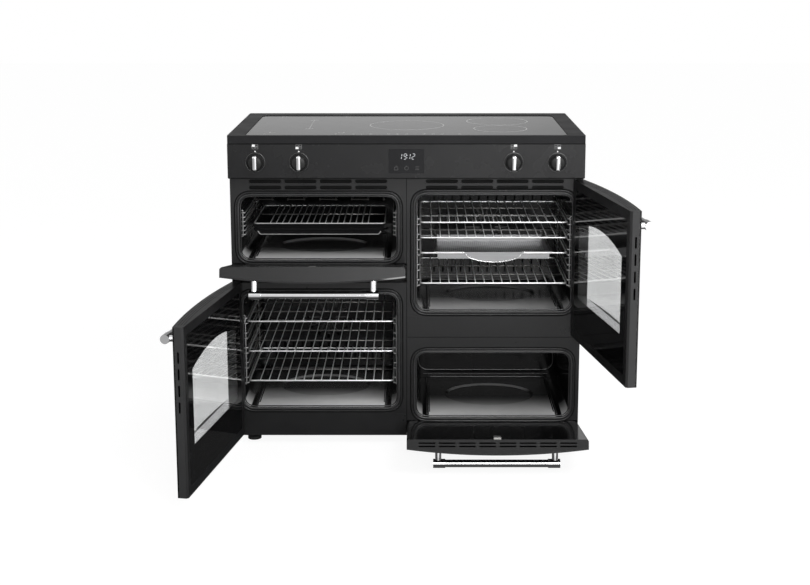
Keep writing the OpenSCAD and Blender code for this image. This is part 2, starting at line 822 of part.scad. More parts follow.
module grill_element() {
    z = roof_z(GRILL) - element_down;
    x = mid_x(GRILL);
    y0 = front_y + element_front;
    y1 = oven_back_y - element_back;
    color([0.35, 0.33, 0.32]) {
        for (n = [-element_turns:element_turns]) rod_y(x + n * element_pitch, y0, y1, z, element_d);
        for (n = [-element_turns:element_turns - 1]) {
            y = abs(n) % 2 == 0 ? y0 + element_d / 2 : y1 - element_d / 2;
            rod_x(x + n * element_pitch, x + (n + 1) * element_pitch, y, z, element_d - bar_low);
        }
        for (s = [-1, 1]) rod_y(x + s * element_turns * element_pitch, y1 - 2 * element_d,
            oven_back_y - sheet_t, z, element_d - 2 * bar_low);
        for (n = [-2, 2], y = [y0 + hanger_in, y1 - hanger_in])
            rod_z(x + n * element_pitch, y, z, roof_z(GRILL), hanger_d);
    }
}

FAN_OVENS = [MAIN, TALL];
cover_y = oven_back_y - sheet_t - fan_gap;
cover_side = 24;
cover_w = 2 * (inner_half - cover_side);
cover_t = 1.5;
cover_r = 12;
cover_margin = 14;
cover_wall = 1.5;
vane_w = 5;
vane_pitch = 27.8;
vane_end = 14;
vane_gap = 5;
guard_d = 150;
guard_rays = 12;
ray_w = 7;
ray_in = 15;
fan_d = 130;
fan_h = 26;
hub_d = 30;
blades = 10;
motor_d = 70;
shaft_d = 8;
function fan_z(oven) = mouth_z(oven) + mouth_h(oven) / 2;
function cover_h(oven) = mouth_h(oven) - 2 * seal_w - 2 * cover_margin;
function vane_h(oven) = cover_h(oven) / 2 - guard_d / 2 - vane_end - vane_gap;
vanes = floor((cover_w / 2 - cover_r - vane_w) / vane_pitch);

// Pressed back plate in front of the fan: rows of slats above and below, a guard in the middle
module fan_covers() {
    color([0.07, 0.07, 0.075]) for (oven = FAN_OVENS)
        translate([mid_x(oven), 0, fan_z(oven)]) difference() {
            along_y(cover_y, oven_back_y - sheet_t) round_rect(cover_w, cover_h(oven), cover_r);
            along_y(cover_y + cover_t, oven_back_y)
                round_rect(cover_w - 2 * cover_wall, cover_h(oven) - 2 * cover_wall,
                    cover_r - cover_wall);
            for (s = [-1, 1], n = [-vanes:vanes])
                translate([n * vane_pitch, cover_y,
                    s * (cover_h(oven) / 2 - vane_end - vane_h(oven) / 2)])
                    cube([vane_w, 3 * cover_t, vane_h(oven)], center = true);
            for (n = [0:guard_rays - 1]) rotate([0, n * 360 / guard_rays, 0])
                translate([guard_d / 4 + ray_in / 2, cover_y, 0])
                    cube([guard_d / 2 - 2 * ray_in, 3 * cover_t, ray_w], center = true);
        }
}

ring_r = 84;
ring_back = 20;
ring_y = cover_y + ring_back;
ring_foot = 12;

module ring_elements() {
    color([0.35, 0.33, 0.32]) for (oven = FAN_OVENS) translate([mid_x(oven), 0, fan_z(oven)]) {
        translate([0, ring_y, 0]) rotate([90, 0, 0])
            rotate_extrude($fn = 96) translate([ring_r, 0]) circle(d = element_d, $fn = 16);
        for (x = [-ring_foot, ring_foot])
            rod_y(x, ring_y, oven_back_y - sheet_t, ring_r - 1, element_d);
    }
}

motor_l = 46;
shaft_in = 30;
ear_l = 30;
ear_t = 6;
ear_w = 14;

module fan_motors() {
    color([0.4, 0.4, 0.42]) for (oven = FAN_OVENS) translate([mid_x(oven), 0, fan_z(oven)]) {
        along_y(oven_back_y, oven_back_y + motor_l) difference() {
            circle(d = motor_d, $fn = round_fn);
            circle(d = shaft_d + 2 * run_clear, $fn = round_fn);
        }
        for (s = [-1, 1]) translate([s * motor_d / 2, oven_back_y + ear_t / 2, 0])
            cube([ear_l, ear_t, ear_w], center = true);
    }
}

blade_t = 1.5;
fan_back = 12;
hub_front = 4;

module fan(oven) {
    y0 = cover_y + fan_back;
    color([0.6, 0.6, 0.62]) translate([mid_x(oven), 0, fan_z(oven)]) {
        along_y(y0 + hub_front, oven_back_y + shaft_in) circle(d = shaft_d, $fn = round_fn);
        along_y(y0, y0 + fan_h) circle(d = hub_d, $fn = round_fn);
        along_y(y0 + fan_h - blade_t, y0 + fan_h) circle(d = fan_d, $fn = round_fn);
        for (n = [0:blades - 1]) rotate([0, n * 360 / blades, 0])
            translate([hub_d / 2 - 1, y0, -blade_t / 2])
                cube([(fan_d - hub_d) / 2 - 1, fan_h - eps, blade_t]);
    }
}

lamp_d = 40;
lamp_t = 14;
lamp_down = 51;
lamp_from_back = 110;

module lamp_lenses() {
    color([0.9, 0.9, 0.85]) for (oven = FAN_OVENS)
        translate([mid_x(oven) + inner_half - lamp_t, oven_back_y - lamp_from_back,
            roof_z(oven) - lamp_down])
            rotate([0, 90, 0]) cylinder(d = lamp_d, h = lamp_t, $fn = round_fn);
}

//----------------------------------------------------------------------------
// Hinge arms, hinge plates and catch plates fixed to the cabinet

plate_gap = 0.7;
plate_t = door_gap - 2 * plate_gap;
plate_w = 22;
catch_w = 26;
catch_h = 50;
catch_t = 1.5;
catch_in = 4;
catch_down = 13;
eye_wall = 3.5;
eye_d = pin_d + 2 * eye_wall;
bore_d = pin_d + 2 * run_clear;

// A flat plate with an eye, at height z, that carries a tall door's pin. It reaches back to y1
module hinge_plate(s, z, y1) {
    x = s * tall_pin_x;
    difference() {
        union() {
            block([x - plate_w / 2, x + plate_w / 2], [pin_y, y1], [z, z + plate_t]);
            translate([x, pin_y, z]) cylinder(d = eye_d, h = plate_t, $fn = round_fn);
        }
        translate([x, pin_y, z - 1]) cylinder(d = bore_d, h = plate_t + 2, $fn = round_fn);
    }
}

// An arm from the recess's wall to a drop-down door's pin
module hinge_arm(oven, s) {
    x = door_x(oven) + s * (door_w / 2 - arm_from_edge);
    z = drop_pin_z(oven);
    translate([x - arm_w / 2, 0, 0]) rotate([90, 0, 90]) linear_extrude(arm_w) difference() {
        union() {
            translate([pin_y, z - arm_h / 2]) square([front_y + recess_d - pin_y, arm_h]);
            translate([pin_y, z]) circle(d = eye_d, $fn = round_fn);
        }
        translate([pin_y, z]) circle(d = bore_d, $fn = round_fn);
    }
}

module hinge_and_catch_plates() {
    color([0.45, 0.45, 0.47]) {
        for (oven = [GRILL, SLOW], s = [-1, 1]) hinge_arm(oven, s);
        for (oven = [MAIN, TALL]) {
            top_y = oven == MAIN ? front_y + recess_d : front_y;
            hinge_plate(side(oven), door_z(oven) - plate_gap - plate_t, front_y);
            hinge_plate(side(oven), door_z(oven) + door_h(oven) + plate_gap, top_y);
            translate([side(oven) * (catch_in + catch_w / 2) - catch_w / 2, front_y - catch_t,
                mouth_z(oven) - catch_down - catch_h]) cube([catch_w, catch_t, catch_h]);
        }
    }
}

// Rotary switches behind the fascia that the knobs' shafts turn in
module knob_switches() {
    color([0.85, 0.85, 0.82]) for (x = knobs_x) translate([x, 0, knob_z]) difference() {
        along_y(fascia_y + sheet_t, fascia_y + sheet_t + switch_len)
            circle(d = switch_d, $fn = round_fn);
        along_y(fascia_y, fascia_y + sheet_t + switch_len - switch_wall)
            circle(d = knob_shaft_d + 2 * run_clear, $fn = round_fn);
    }
}

//----------------------------------------------------------------------------
// Doors. Each is drawn closed and then swung open about its pins.

module swing(oven) {
    pin = [side(oven) * tall_pin_x, pin_y, 0];
    translate(pin) rotate([0, 0, side(oven) * tall_open]) translate(-pin) children();
}

module drop(oven, angle) {
    pin = [0, pin_y, drop_pin_z(oven)];
    translate(pin) rotate([angle, 0, 0]) translate(-pin) children();
}

// A door's plan, bowed in front and bevelled behind: cut back by shrink at the sides and inside
module door_plan(front_cut = 0, side_cut = 0, back_cut = 0) {
    intersection() {
        translate([0, door_in_y - door_mid_t + bow_r]) circle(r = bow_r - front_cut, $fn = bow_fn);
        polygon([
            [-door_w / 2 + side_cut, door_in_y - door_mid_t - 1],
            [door_w / 2 - side_cut, door_in_y - door_mid_t - 1],
            [door_w / 2 - side_cut, door_in_y - door_bevel],
            [door_w / 2 - max(door_bevel, side_cut + back_cut), door_in_y - back_cut],
            [-door_w / 2 + max(door_bevel, side_cut + back_cut), door_in_y - back_cut],
            [-door_w / 2 + side_cut, door_in_y - door_bevel],
        ]);
    }
}

// The outer glass: the front slice of the bowed door
module outer_glass_shape(oven) {
    translate([door_x(oven), 0, door_z(oven)]) linear_extrude(door_h(oven)) difference() {
        door_plan();
        door_plan(front_cut = door_glass_t);
    }
}

function window_z(oven) = door_z(oven) + window_up;
window_w = door_w - 2 * window_side;
window_h = tall_door_h - window_up - window_top;

// The window's outline with its arched top
module window_outline(oven, grow) {
    w = window_w + 2 * grow;
    arc_r = (w * w / 4 + window_rise * window_rise) / (2 * window_rise);
    x = door_x(oven);
    translate([x, window_z(oven) - grow]) {
        translate([-w / 2, 0]) square([w, window_h + 2 * grow]);
        intersection() {
            translate([0, window_h + 2 * grow + window_rise - arc_r]) circle(r = arc_r, $fn = 360);
            translate([-w / 2, 0]) square([w, window_h + window_rise + 2 * grow + 1]);
        }
    }
}

door_skin = 1;
pane_margin = 26;
pane_r = 6;
pin_boss = 12;
vent_count = 4;
vent_l = 30;
vent_w = 5;
vent_pitch = 44;
vent_in = 15;
vent_up = 0.68;

module inner_pane(oven, grow) {
    translate([door_x(oven), door_z(oven) + door_h(oven) / 2])
        round_rect(door_w - 2 * pane_margin + 2 * grow, door_h(oven) - 2 * pane_margin + 2 * grow,
            pane_r + grow);
}

// Slots along the free edge of a tall door
module edge_vents(oven) {
    free_x = side(oven) > 0 ? door_gap / 2 : -door_gap / 2;
    for (n = [0:vent_count - 1])
        translate([free_x, door_in_y - vent_in,
            door_z(oven) + door_h(oven) * vent_up + (n - (vent_count - 1) / 2) * vent_pitch])
            rotate([0, 90, 0]) linear_extrude(3 * door_wall, center = true)
                round_rect(vent_l, vent_w, vent_w / 2 - eps);
}

module tall_door_frame(oven) {
    z0 = door_z(oven);
    h = door_h(oven);
    pin_x = side(oven) * tall_pin_x;
    color([0.05, 0.05, 0.055]) swing(oven) difference() {
        union() {
            difference() {
                translate([door_x(oven), 0, z0]) linear_extrude(h)
                    door_plan(front_cut = door_glass_t);
                translate([door_x(oven), 0, z0 + door_wall]) linear_extrude(h - 2 * door_wall)
                    door_plan(front_cut = door_glass_t + door_skin, side_cut = door_wall,
                        back_cut = 2 * door_wall);
            }
            // Ring round the window
            intersection() {
                translate([door_x(oven), 0, z0]) linear_extrude(h)
                    door_plan(front_cut = door_glass_t);
                along_y(door_in_y - door_mid_t, door_in_y - door_wall)
                    window_outline(oven, door_wall);
            }
            // Bosses that hold the hinge pins
            for (z = [z0, z0 + h - 2 * pin_boss]) block([pin_x - pin_d, pin_x + pin_d],
                [pin_y - pin_d, door_in_y - door_wall], [z, z + 2 * pin_boss]);
        }
        along_y(door_in_y - door_mid_t - 1, door_in_y + 1) window_outline(oven, 0);
        along_y(door_in_y - door_glass_t, door_in_y + 1) inner_pane(oven, glass_gap);
        translate([pin_x, pin_y, z0 - 1]) cylinder(d = pin_d, h = pin_boss + 1, $fn = round_fn);
        translate([pin_x, pin_y, z0 + h - pin_boss])
            cylinder(d = pin_d, h = pin_boss + 1, $fn = round_fn);
        edge_vents(oven);
    }
}

module tall_door_pins(oven) {
    pin_x = side(oven) * tall_pin_x;
    color([0.6, 0.6, 0.62]) swing(oven) {
        translate([pin_x, pin_y, door_z(oven) - plate_gap - plate_t])
            cylinder(d = pin_d, h = pin_boss + plate_gap + plate_t, $fn = round_fn);
        translate([pin_x, pin_y, door_z(oven) + door_h(oven) - pin_boss])
            cylinder(d = pin_d, h = pin_boss + plate_gap + plate_t, $fn = round_fn);
    }
}

module outer_glass(oven) { color([0.02, 0.02, 0.025]) outer_glass_shape(oven); }

module inner_glass(oven) {
    color([0.02, 0.02, 0.025]) swing(oven)
        along_y(door_in_y - door_glass_t, door_in_y) inner_pane(oven, 0);
}

module handle(oven) {
    x = door_x(oven);
    z = door_z(oven) + door_h(oven) - bar_down;
    y = door_in_y - door_mid_t - bar_out;
    reach = handle_len / 2;
    post_x = reach - post_in;
    color([0.85, 0.85, 0.87]) {
        rod_x(x - reach + cap_len, x + reach - cap_len, y, z, bar_d, round_fn);
        for (s = [-1, 1]) {
            rod_x(min(x + s * reach, x + s * (reach - cap_len)),
                max(x + s * reach, x + s * (reach - cap_len)), y, z, cap_d, round_fn);
            translate([x + s * post_x, 0, z]) difference() {
                along_y(y, door_in_y - door_edge_t) circle(d = post_d, $fn = round_fn);
                translate([-s * post_x, 0, -post_d]) linear_extrude(2 * post_d) door_plan();
            }
        }
    }
}

heel = 2;
boss_up = 14;
hollow_down = 8;

// The lower edge is rounded about the pins, so that it clears the door below
module drop_door_bounds(oven) {
    z = drop_pin_z(oven);
    r = max(z - door_z(oven), door_mid_t - pin_in + heel);
    block([-half_w, half_w], [door_in_y - 2 * door_mid_t, door_in_y + 1],
        [z, door_z(oven) + door_h(oven) + 1]);
    translate([-half_w, pin_y, z]) rotate([0, 90, 0]) cylinder(r = r, h = body_w, $fn = 96);
}

vent_rows = [10, 19];
vent_cols = 8;
vent_side = 27.75;
vent_gap = 9;
vent_slot_pitch = (door_w - 2 * vent_side) / vent_cols;
vent_slot_l = vent_slot_pitch - vent_gap;
vent_slot_w = 4;

module drop_door_frame(oven, angle, vents) {
    z0 = door_z(oven);
    h = door_h(oven);
    zp = drop_pin_z(oven);
    x = door_x(oven);
    arm_xs = [x - door_w / 2 + arm_from_edge, x + door_w / 2 - arm_from_edge];
    color([0.05, 0.05, 0.055]) drop(oven, angle) difference() {
        intersection() {
            translate([x, 0, z0]) linear_extrude(h) door_plan(front_cut = door_glass_t);
            drop_door_bounds(oven);
        }
        difference() {
            translate([x, 0, zp - hollow_down])
                linear_extrude(h - (zp - hollow_down - z0) - door_wall)
                door_plan(front_cut = -1, side_cut = door_wall, back_cut = door_wall);
            for (ax = arm_xs) block([ax - boss_w / 2, ax + boss_w / 2],
                [door_in_y - door_mid_t, door_in_y], [z0, zp + boss_up]);
        }
        for (ax = arm_xs) {
            block([ax - notch_w / 2, ax + notch_w / 2], [pin_y - eye_d / 2 - 2, door_in_y + 1],
                [z0 - 1, zp + eye_d / 2 + 2]);
            rod_x(ax - drop_pin_len / 2, ax + drop_pin_len / 2, pin_y, zp, pin_d, round_fn);
        }
        if (vents) for (n = [0:vent_cols - 1], y = vent_rows)
            translate([x + (n - (vent_cols - 1) / 2) * vent_slot_pitch, door_in_y - y,
                z0 + h - 2 * door_wall])
                linear_extrude(4 * door_wall) round_rect(vent_slot_l, vent_slot_w, vent_slot_w / 2 - eps);
    }
}

peg_w = 20;
peg_h = 24;
peg_down = 12;
peg_clear = 1.5;

module drop_door_pins(oven, angle) {
    zp = drop_pin_z(oven);
    color([0.6, 0.6, 0.62]) drop(oven, angle) {
        for (s = [-1, 1]) {
            ax = door_x(oven) + s * (door_w / 2 - arm_from_edge);
            rod_x(ax - drop_pin_len / 2, ax + drop_pin_len / 2, pin_y, zp, pin_d, round_fn);
        }
        translate([door_x(oven) - peg_w / 2, door_in_y,
            door_z(oven) + door_h(oven) - peg_down - peg_h])
            cube([peg_w, door_clear - peg_clear, peg_h]);
    }
}

module drop_outer_glass(oven, angle) {
    color([0.02, 0.02, 0.025]) drop(oven, angle) intersection() {
        outer_glass_shape(oven);
        drop_door_bounds(oven);
    }
}

//----------------------------------------------------------------------------

side_panels();
back_panel();
base_tray();
levelling_feet();
hob_surround();
hob_glass();
induction_coils();
control_fascia();
display_panel();
front_frame_grill();
front_frame_main();
front_frame_tall();
front_frame_slow();
cavity(GRILL);  // cavity_grill
cavity(MAIN, shaft_hole = true);  // cavity_main
cavity(TALL, shaft_hole = true);  // cavity_tall
cavity(SLOW, embossed_back = true);  // cavity_slow
door_seals();
side_ladders();
grill_element();
fan_covers();
ring_elements();
fan_motors();
lamp_lenses();
hinge_and_catch_plates();
knob_switches();
tall_door_frame(MAIN);  // door_main_frame
swing(MAIN) outer_glass(MAIN);  // door_main_outer_glass
inner_glass(MAIN);  // door_main_inner_glass
swing(MAIN) handle(MAIN);  // door_main_handle
tall_door_pins(MAIN);  // door_main_pins
tall_door_frame(TALL);  // door_tall_frame
swing(TALL) outer_glass(TALL);  // door_tall_outer_glass
inner_glass(TALL);  // door_tall_inner_glass
swing(TALL) handle(TALL);  // door_tall_handle
tall_door_pins(TALL);  // door_tall_pins
drop_door_frame(GRILL, grill_open, false);  // door_grill_frame
drop_outer_glass(GRILL, grill_open);  // door_grill_outer_glass
drop(GRILL, grill_open) handle(GRILL);  // door_grill_handle
drop_door_pins(GRILL, grill_open);  // door_grill_pins
drop_door_frame(SLOW, slow_open, true);  // door_slow_frame
drop_outer_glass(SLOW, slow_open);  // door_slow_outer_glass
drop(SLOW, slow_open) handle(SLOW);  // door_slow_handle
drop_door_pins(SLOW, slow_open);  // door_slow_pins
rack(MAIN, rack_z(MAIN, 0));  // rack_main_low
rack(MAIN, rack_z(MAIN, 2));  // rack_main_mid
rack(MAIN, rack_z(MAIN, 4));  // rack_main_high
rack(TALL, rack_z(TALL, 0));  // rack_tall_low
rack(TALL, rack_z(TALL, 3));  // rack_tall_mid
rack(TALL, rack_z(TALL, 4));  // rack_tall_high
tray_carrier();
steam_tray();
grill_pan();
grill_grid();
knob(knobs_x[0]);  // knob_outer_left
knob(knobs_x[1]);  // knob_inner_left
knob(knobs_x[2]);  // knob_inner_right
knob(knobs_x[3]);  // knob_outer_right
fan(MAIN);  // fan_main
fan(TALL);  // fan_tall
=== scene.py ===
import math

import bmesh
import bpy
from mathutils import Matrix, Vector


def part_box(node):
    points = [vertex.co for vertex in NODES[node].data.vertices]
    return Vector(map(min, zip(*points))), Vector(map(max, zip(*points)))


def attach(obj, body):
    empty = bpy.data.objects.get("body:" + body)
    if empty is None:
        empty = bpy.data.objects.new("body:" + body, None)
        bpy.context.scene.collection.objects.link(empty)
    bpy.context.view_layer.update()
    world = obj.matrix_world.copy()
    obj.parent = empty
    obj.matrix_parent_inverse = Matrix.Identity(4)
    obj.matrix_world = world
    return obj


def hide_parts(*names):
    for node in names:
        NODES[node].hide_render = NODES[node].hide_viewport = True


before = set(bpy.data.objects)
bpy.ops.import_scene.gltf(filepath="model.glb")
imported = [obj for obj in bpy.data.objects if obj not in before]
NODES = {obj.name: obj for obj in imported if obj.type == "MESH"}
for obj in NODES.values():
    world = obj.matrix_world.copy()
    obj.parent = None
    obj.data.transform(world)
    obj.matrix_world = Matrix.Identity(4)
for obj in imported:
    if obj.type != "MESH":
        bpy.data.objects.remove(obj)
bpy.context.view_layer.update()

# --------------------------------------------
# Measures that the pieces share with the frame, in metres

OVEN_X = 0.25
MIDDLES = {"grill": -OVEN_X, "main": -OVEN_X, "tall": OVEN_X, "slow": OVEN_X}
FLOORS = {"grill": 0.553, "main": 0.113, "tall": 0.403, "slow": 0.083}
MOUTHS = {"grill": (0.545, 0.746), "main": (0.105, 0.461), "tall": (0.395, 0.751),
          "slow": (0.075, 0.286)}
MOUTH_HALF, MOUTH_R = 0.232, 0.038
GUTTER_X, FILLET_X = 0.185, 0.2045
FRONT_Y = -0.238
SHEET_T = 0.002
FASCIA_Y = -0.274
HALF_WIDTH = 0.4975

# --------------------------------------------
# Materials


def shader(name):
    material = bpy.data.materials.new(name)
    material.use_nodes = True
    tree = material.node_tree
    return material, tree, tree.nodes["Principled BSDF"]


def coords(tree, scale=(1, 1, 1)):
    place = tree.nodes.new("ShaderNodeTexCoord")
    mapping = tree.nodes.new("ShaderNodeMapping")
    mapping.inputs["Scale"].default_value = scale
    tree.links.new(place.outputs["Object"], mapping.inputs["Vector"])
    return mapping.outputs["Vector"]


def put(node, values):
    """Sets inputs of the node, by name."""
    for name, value in values.items():
        node.inputs[name].default_value = value


def feed(tree, socket, value):
    """The value is a number or another socket."""
    if isinstance(value, (int, float)):
        socket.default_value = value
    else:
        tree.links.new(value, socket)


def noise(tree, vector, scale, detail=4, rough=0.55):
    node = tree.nodes.new("ShaderNodeTexNoise")
    put(node, {"Scale": scale, "Detail": detail, "Roughness": rough})
    tree.links.new(vector, node.inputs["Vector"])
    return node.outputs["Fac"]


def ramp(tree, value, stops):
    node = tree.nodes.new("ShaderNodeValToRGB")
    points = node.color_ramp.elements
    while len(points) < len(stops):
        points.new(0.5)
    for point, (place, color) in zip(points, stops):
        point.position = place
        point.color = (*color, 1)
    tree.links.new(value, node.inputs["Fac"])
    return node.outputs["Color"]


def remap(tree, value, start, end, low, high, easing="LINEAR"):
    """The value taken from start..end to low..high, and held outside them."""
    node = tree.nodes.new("ShaderNodeMapRange")
    node.interpolation_type = easing
    put(node, {"From Min": start, "From Max": end, "To Min": low, "To Max": high})
    tree.links.new(value, node.inputs["Value"])
    return node.outputs["Result"]


def spread(tree, value, low, high):
    """A noise spread over low..high."""
    return remap(tree, value, 0.3, 0.7, low, high)


def between(tree, value, start, end, low=0.0, high=1.0):
    """As remap, with a soft start and end."""
    return remap(tree, value, start, end, low, high, "SMOOTHSTEP")


def grey(level):
    return (level,) * 3


def shade(color, factor):
    return tuple(min(1, c * factor) for c in color)


def mottled(tree, clouds, color, vary):
    """A colour that the clouds darken and lighten a little."""
    return ramp(tree, clouds, [(0.3, shade(color, 1 - vary)), (0.7, shade(color, 1 + vary))])


def dress(tree, principled, color, rough):
    tree.links.new(color, principled.inputs["Base Color"])
    tree.links.new(rough, principled.inputs["Roughness"])


def bump(tree, principled, height, strength, distance):
    node = tree.nodes.new("ShaderNodeBump")
    put(node, {"Strength": strength, "Distance": distance})
    tree.links.new(height, node.inputs["Height"])
    tree.links.new(node.outputs["Normal"], principled.inputs["Normal"])


def coated(name, color, rough, vary=0.12, cloud=9, grain=900, grain_depth=0.00004, level=0.3,
           ior=1.5):
    """Paint, enamel or moulded plastic: cloudy colour, uneven sheen and a fine surface grain."""
    material, tree, principled = shader(name)
    place = coords(tree)
    dress(tree, principled, mottled(tree, noise(tree, place, cloud), color, vary),
          spread(tree, noise(tree, place, cloud * 3), rough * 0.88, rough * 1.12))
    bump(tree, principled, noise(tree, place, grain, 2), 0.35, grain_depth)
    put(principled, {"IOR": ior, "Specular IOR Level": level})
    return material


def blended(tree, kind, a, b, factor=1):
    """Two colours mixed; the factor is a number or a socket."""
    mix = tree.nodes.new("ShaderNodeMix")
    mix.data_type = "RGBA"
    mix.blend_type = kind
    feed(tree, mix.inputs["Factor"], factor)
    tree.links.new(a, mix.inputs["A"])
    tree.links.new(b, mix.inputs["B"])
    return mix.outputs["Result"]


def axes(tree, vector):
    node = tree.nodes.new("ShaderNodeSeparateXYZ")
    tree.links.new(vector, node.inputs["Vector"])
    return node.outputs


def math_node(tree, operation, a, b=0.0):
    """Each of the two values is a number or a socket."""
    node = tree.nodes.new("ShaderNodeMath")
    node.operation = operation
    for socket, value in zip(node.inputs, (a, b)):
        feed(tree, socket, value)
    return node.outputs["Value"]


def times(tree, a, b):
    return math_node(tree, "MULTIPLY", a, b)


def mixture(tree, first, second, share):
    """The first value where share is 1, and the second where it is 0."""
    others = math_node(tree, "SUBTRACT", 1.0, share)
    return math_node(tree, "ADD", times(tree, first, share), times(tree, second, others))


def own_normal(tree):
    """The surface's direction in the object's own frame, so it stays when the object turns."""
    return tree.nodes.new("ShaderNodeTexCoord").outputs["Normal"]


def painted_light_share(tree, place, floor, centre):
    """How far an oven's floor is painted paler, as painted light: most near the mouth where the lamps reach,
    and as painted highlights in the fillets beside it and on the dish's far slope.
    """
    across, along, up = axes(tree, place)
    _, facing, steep = axes(tree, own_normal(tree))
    aside = math_node(tree, "ABSOLUTE", math_node(tree, "SUBTRACT", across, centre))
    flat = times(tree, between(tree, steep, 0.75, 0.95), between(tree, along, FRONT_Y, -0.03, 1.0, 0.05))
    flat = times(tree, flat, between(tree, aside, GUTTER_X - 0.001, GUTTER_X + 0.001, 1.0, 0.0))
    fillet = times(tree, between(tree, steep, 0.12, 0.40),
                   between(tree, aside, FILLET_X - 0.001, FILLET_X + 0.001))
    fillet = times(tree, fillet, between(tree, along, -0.235, -0.10, 0.8, 0.0))
    slope = times(tree, between(tree, facing, -0.12, -0.40, 0.0, 0.22),
                  between(tree, up, floor + 0.0005, floor + 0.0015, 1.0, 0.0))
    share = math_node(tree, "MAXIMUM", math_node(tree, "MAXIMUM", flat, fillet), slope)
    near = times(tree, between(tree, up, floor - 0.006, floor - 0.0055),
                 between(tree, up, floor + 0.016, floor + 0.022, 1.0, 0.0))
    return times(tree, share, near)


def enamel(name, color, rough, fleck, orange_peel=0.00025, level=0.3, oven=None, lit_grey=0.4, shade_from=None):
    """Vitreous enamel: black glass fused on steel, with fine flecks and a soft orange peel.

    An oven's own enamel is painted paler on its floor near the mouth, as painted light, and a front is
    darkened from a given depth behind its face on, as painted shade."""
    material, tree, principled = shader(name)
    place = coords(tree)
    result = ramp(tree, noise(tree, place, 700, 1, 0.4),
                  [(0.0, color), (0.66, color), (0.74, shade(color, fleck))])
    clouds = ramp(tree, noise(tree, place, 6), [(0.3, grey(0.86)), (0.7, grey(1.0))])
    result = blended(tree, "MULTIPLY", result, clouds)
    if oven is not None:
        # Painted light: the floor made paler near the mouth, in the fillets and on the dish's far slope
        painted_lit = ramp(tree, noise(tree, place, 18), [(0.3, grey(lit_grey * 0.9)), (0.7, grey(lit_grey))])
        result = blended(tree, "MIX", result, painted_lit,
                         painted_light_share(tree, place, FLOORS[oven], MIDDLES[oven]))
    # Painted shade: everything that far behind the front's face is darkened, as in its slots
    if shade_from is not None:
        painted_shade = mottled(tree, noise(tree, place, 12), grey(0.001), 0.2)
        result = blended(tree, "MIX", result, painted_shade, between(tree, axes(tree, place)[1], shade_from, shade_from + 0.001))
    dress(tree, principled, result, spread(tree, noise(tree, place, 22), rough * 0.85, rough * 1.15))
    bump(tree, principled, noise(tree, place, 70, 3), 0.25, orange_peel)
    put(principled, {"IOR": 1.52, "Specular IOR Level": level})
    return material


def metal(name, color, rough, stretch=(1, 1, 1), streaks=0.0, smudge=0.02, scale=14, share=1.0):
    """Bare or plated metal: faint smudges, and drawn or brushed streaks along one axis."""
    material, tree, principled = shader(name)
    place = coords(tree, stretch)
    drawn = noise(tree, place, 60, 6, 0.7)
    marks = noise(tree, coords(tree), scale, 5)
    dress(tree, principled,
          ramp(tree, drawn, [(0.25, shade(color, 1 - 0.5 * streaks - 0.02)), (0.75, color)]),
          spread(tree, marks, max(0.02, rough - smudge), rough + smudge))
    if streaks:
        bump(tree, principled, drawn, 0.3 * streaks, 0.0001)
    principled.inputs["Metallic"].default_value = share
    return material


def perforated(name, color, rough, pitch):
    """Brushed sheet whose level parts carry rows of dark dots, painted as the shade seen in fine holes."""
    material, tree, principled = shader(name)
    drawn = noise(tree, coords(tree, (0.06, 4, 4)), 60, 6, 0.7)
    sheet = ramp(tree, drawn, [(0.25, shade(color, 0.75)), (0.75, color)])
    cells = tree.nodes.new("ShaderNodeTexVoronoi")
    cells.voronoi_dimensions = "2D"
    put(cells, {"Scale": 1 / pitch, "Randomness": 0})
    tree.links.new(coords(tree), cells.inputs["Vector"])
    # The holes are not cut: dark dots are painted where they stand, as their shade
    hole_shade = between(tree, cells.outputs["Distance"], 0.26, 0.32, 1.0, 0.0)
    hole_shade = times(tree, hole_shade, between(tree, axes(tree, own_normal(tree))[2], 0.8, 0.95))
    hole_shade_color = ramp(tree, drawn, [(0.25, shade(color, 0.10)), (0.75, shade(color, 0.16))])
    dress(tree, principled, blended(tree, "MIX", sheet, hole_shade_color, hole_shade),
          spread(tree, noise(tree, coords(tree), 14, 5), rough - 0.05, rough + 0.05))
    bump(tree, principled, drawn, 0.15, 0.0001)
    principled.inputs["Metallic"].default_value = 1
    return material


def trimmed_black(name, paint, strip, end):
    """A tall door: satin paint, a strip on its free edge painted greyer as painted light where it faces
    forward at rest, and darker plastic ends.
    """
    material, tree, principled = shader(name)
    place = coords(tree)
    _, facing, upright = axes(tree, own_normal(tree))
    clouds = noise(tree, place, 9)
    # Painted light: faces that look forward at rest, the doors' free edges, are made greyer
    result = blended(tree, "MIX", mottled(tree, clouds, paint, 0.12), mottled(tree, clouds, strip, 0.08),
                     between(tree, facing, -0.75, -0.9))
    sides = math_node(tree, "ABSOLUTE", upright)
    result = blended(tree, "MIX", result, mottled(tree, clouds, end, 0.12), between(tree, sides, 0.7, 0.9))
    dress(tree, principled, result, spread(tree, noise(tree, place, 27), 0.30, 0.38))
    bump(tree, principled, noise(tree, place, 1200, 2), 0.35, 0.00004)
    principled.inputs["Specular IOR Level"].default_value = 0.3
    return material


def inside_black(name, outer, inner):
    """A drop door: satin paint outside, and glossier, blacker enamel on the face to the oven."""
    material, tree, principled = shader(name)
    place = coords(tree)
    up = between(tree, axes(tree, own_normal(tree))[2], 0.6, 0.8)
    clouds = noise(tree, place, 9)
    result = blended(tree, "MIX", mottled(tree, clouds, outer, 0.12), mottled(tree, clouds, inner, 0.12), up)
    uneven = spread(tree, noise(tree, place, 27), 0.9, 1.1)
    dress(tree, principled, result, times(tree, uneven, between(tree, up, 0, 1, 0.34, 0.12)))
    bump(tree, principled, noise(tree, place, 1200, 2), 0.3, 0.00003)
    principled.inputs["Specular IOR Level"].default_value = 0.3
    return material


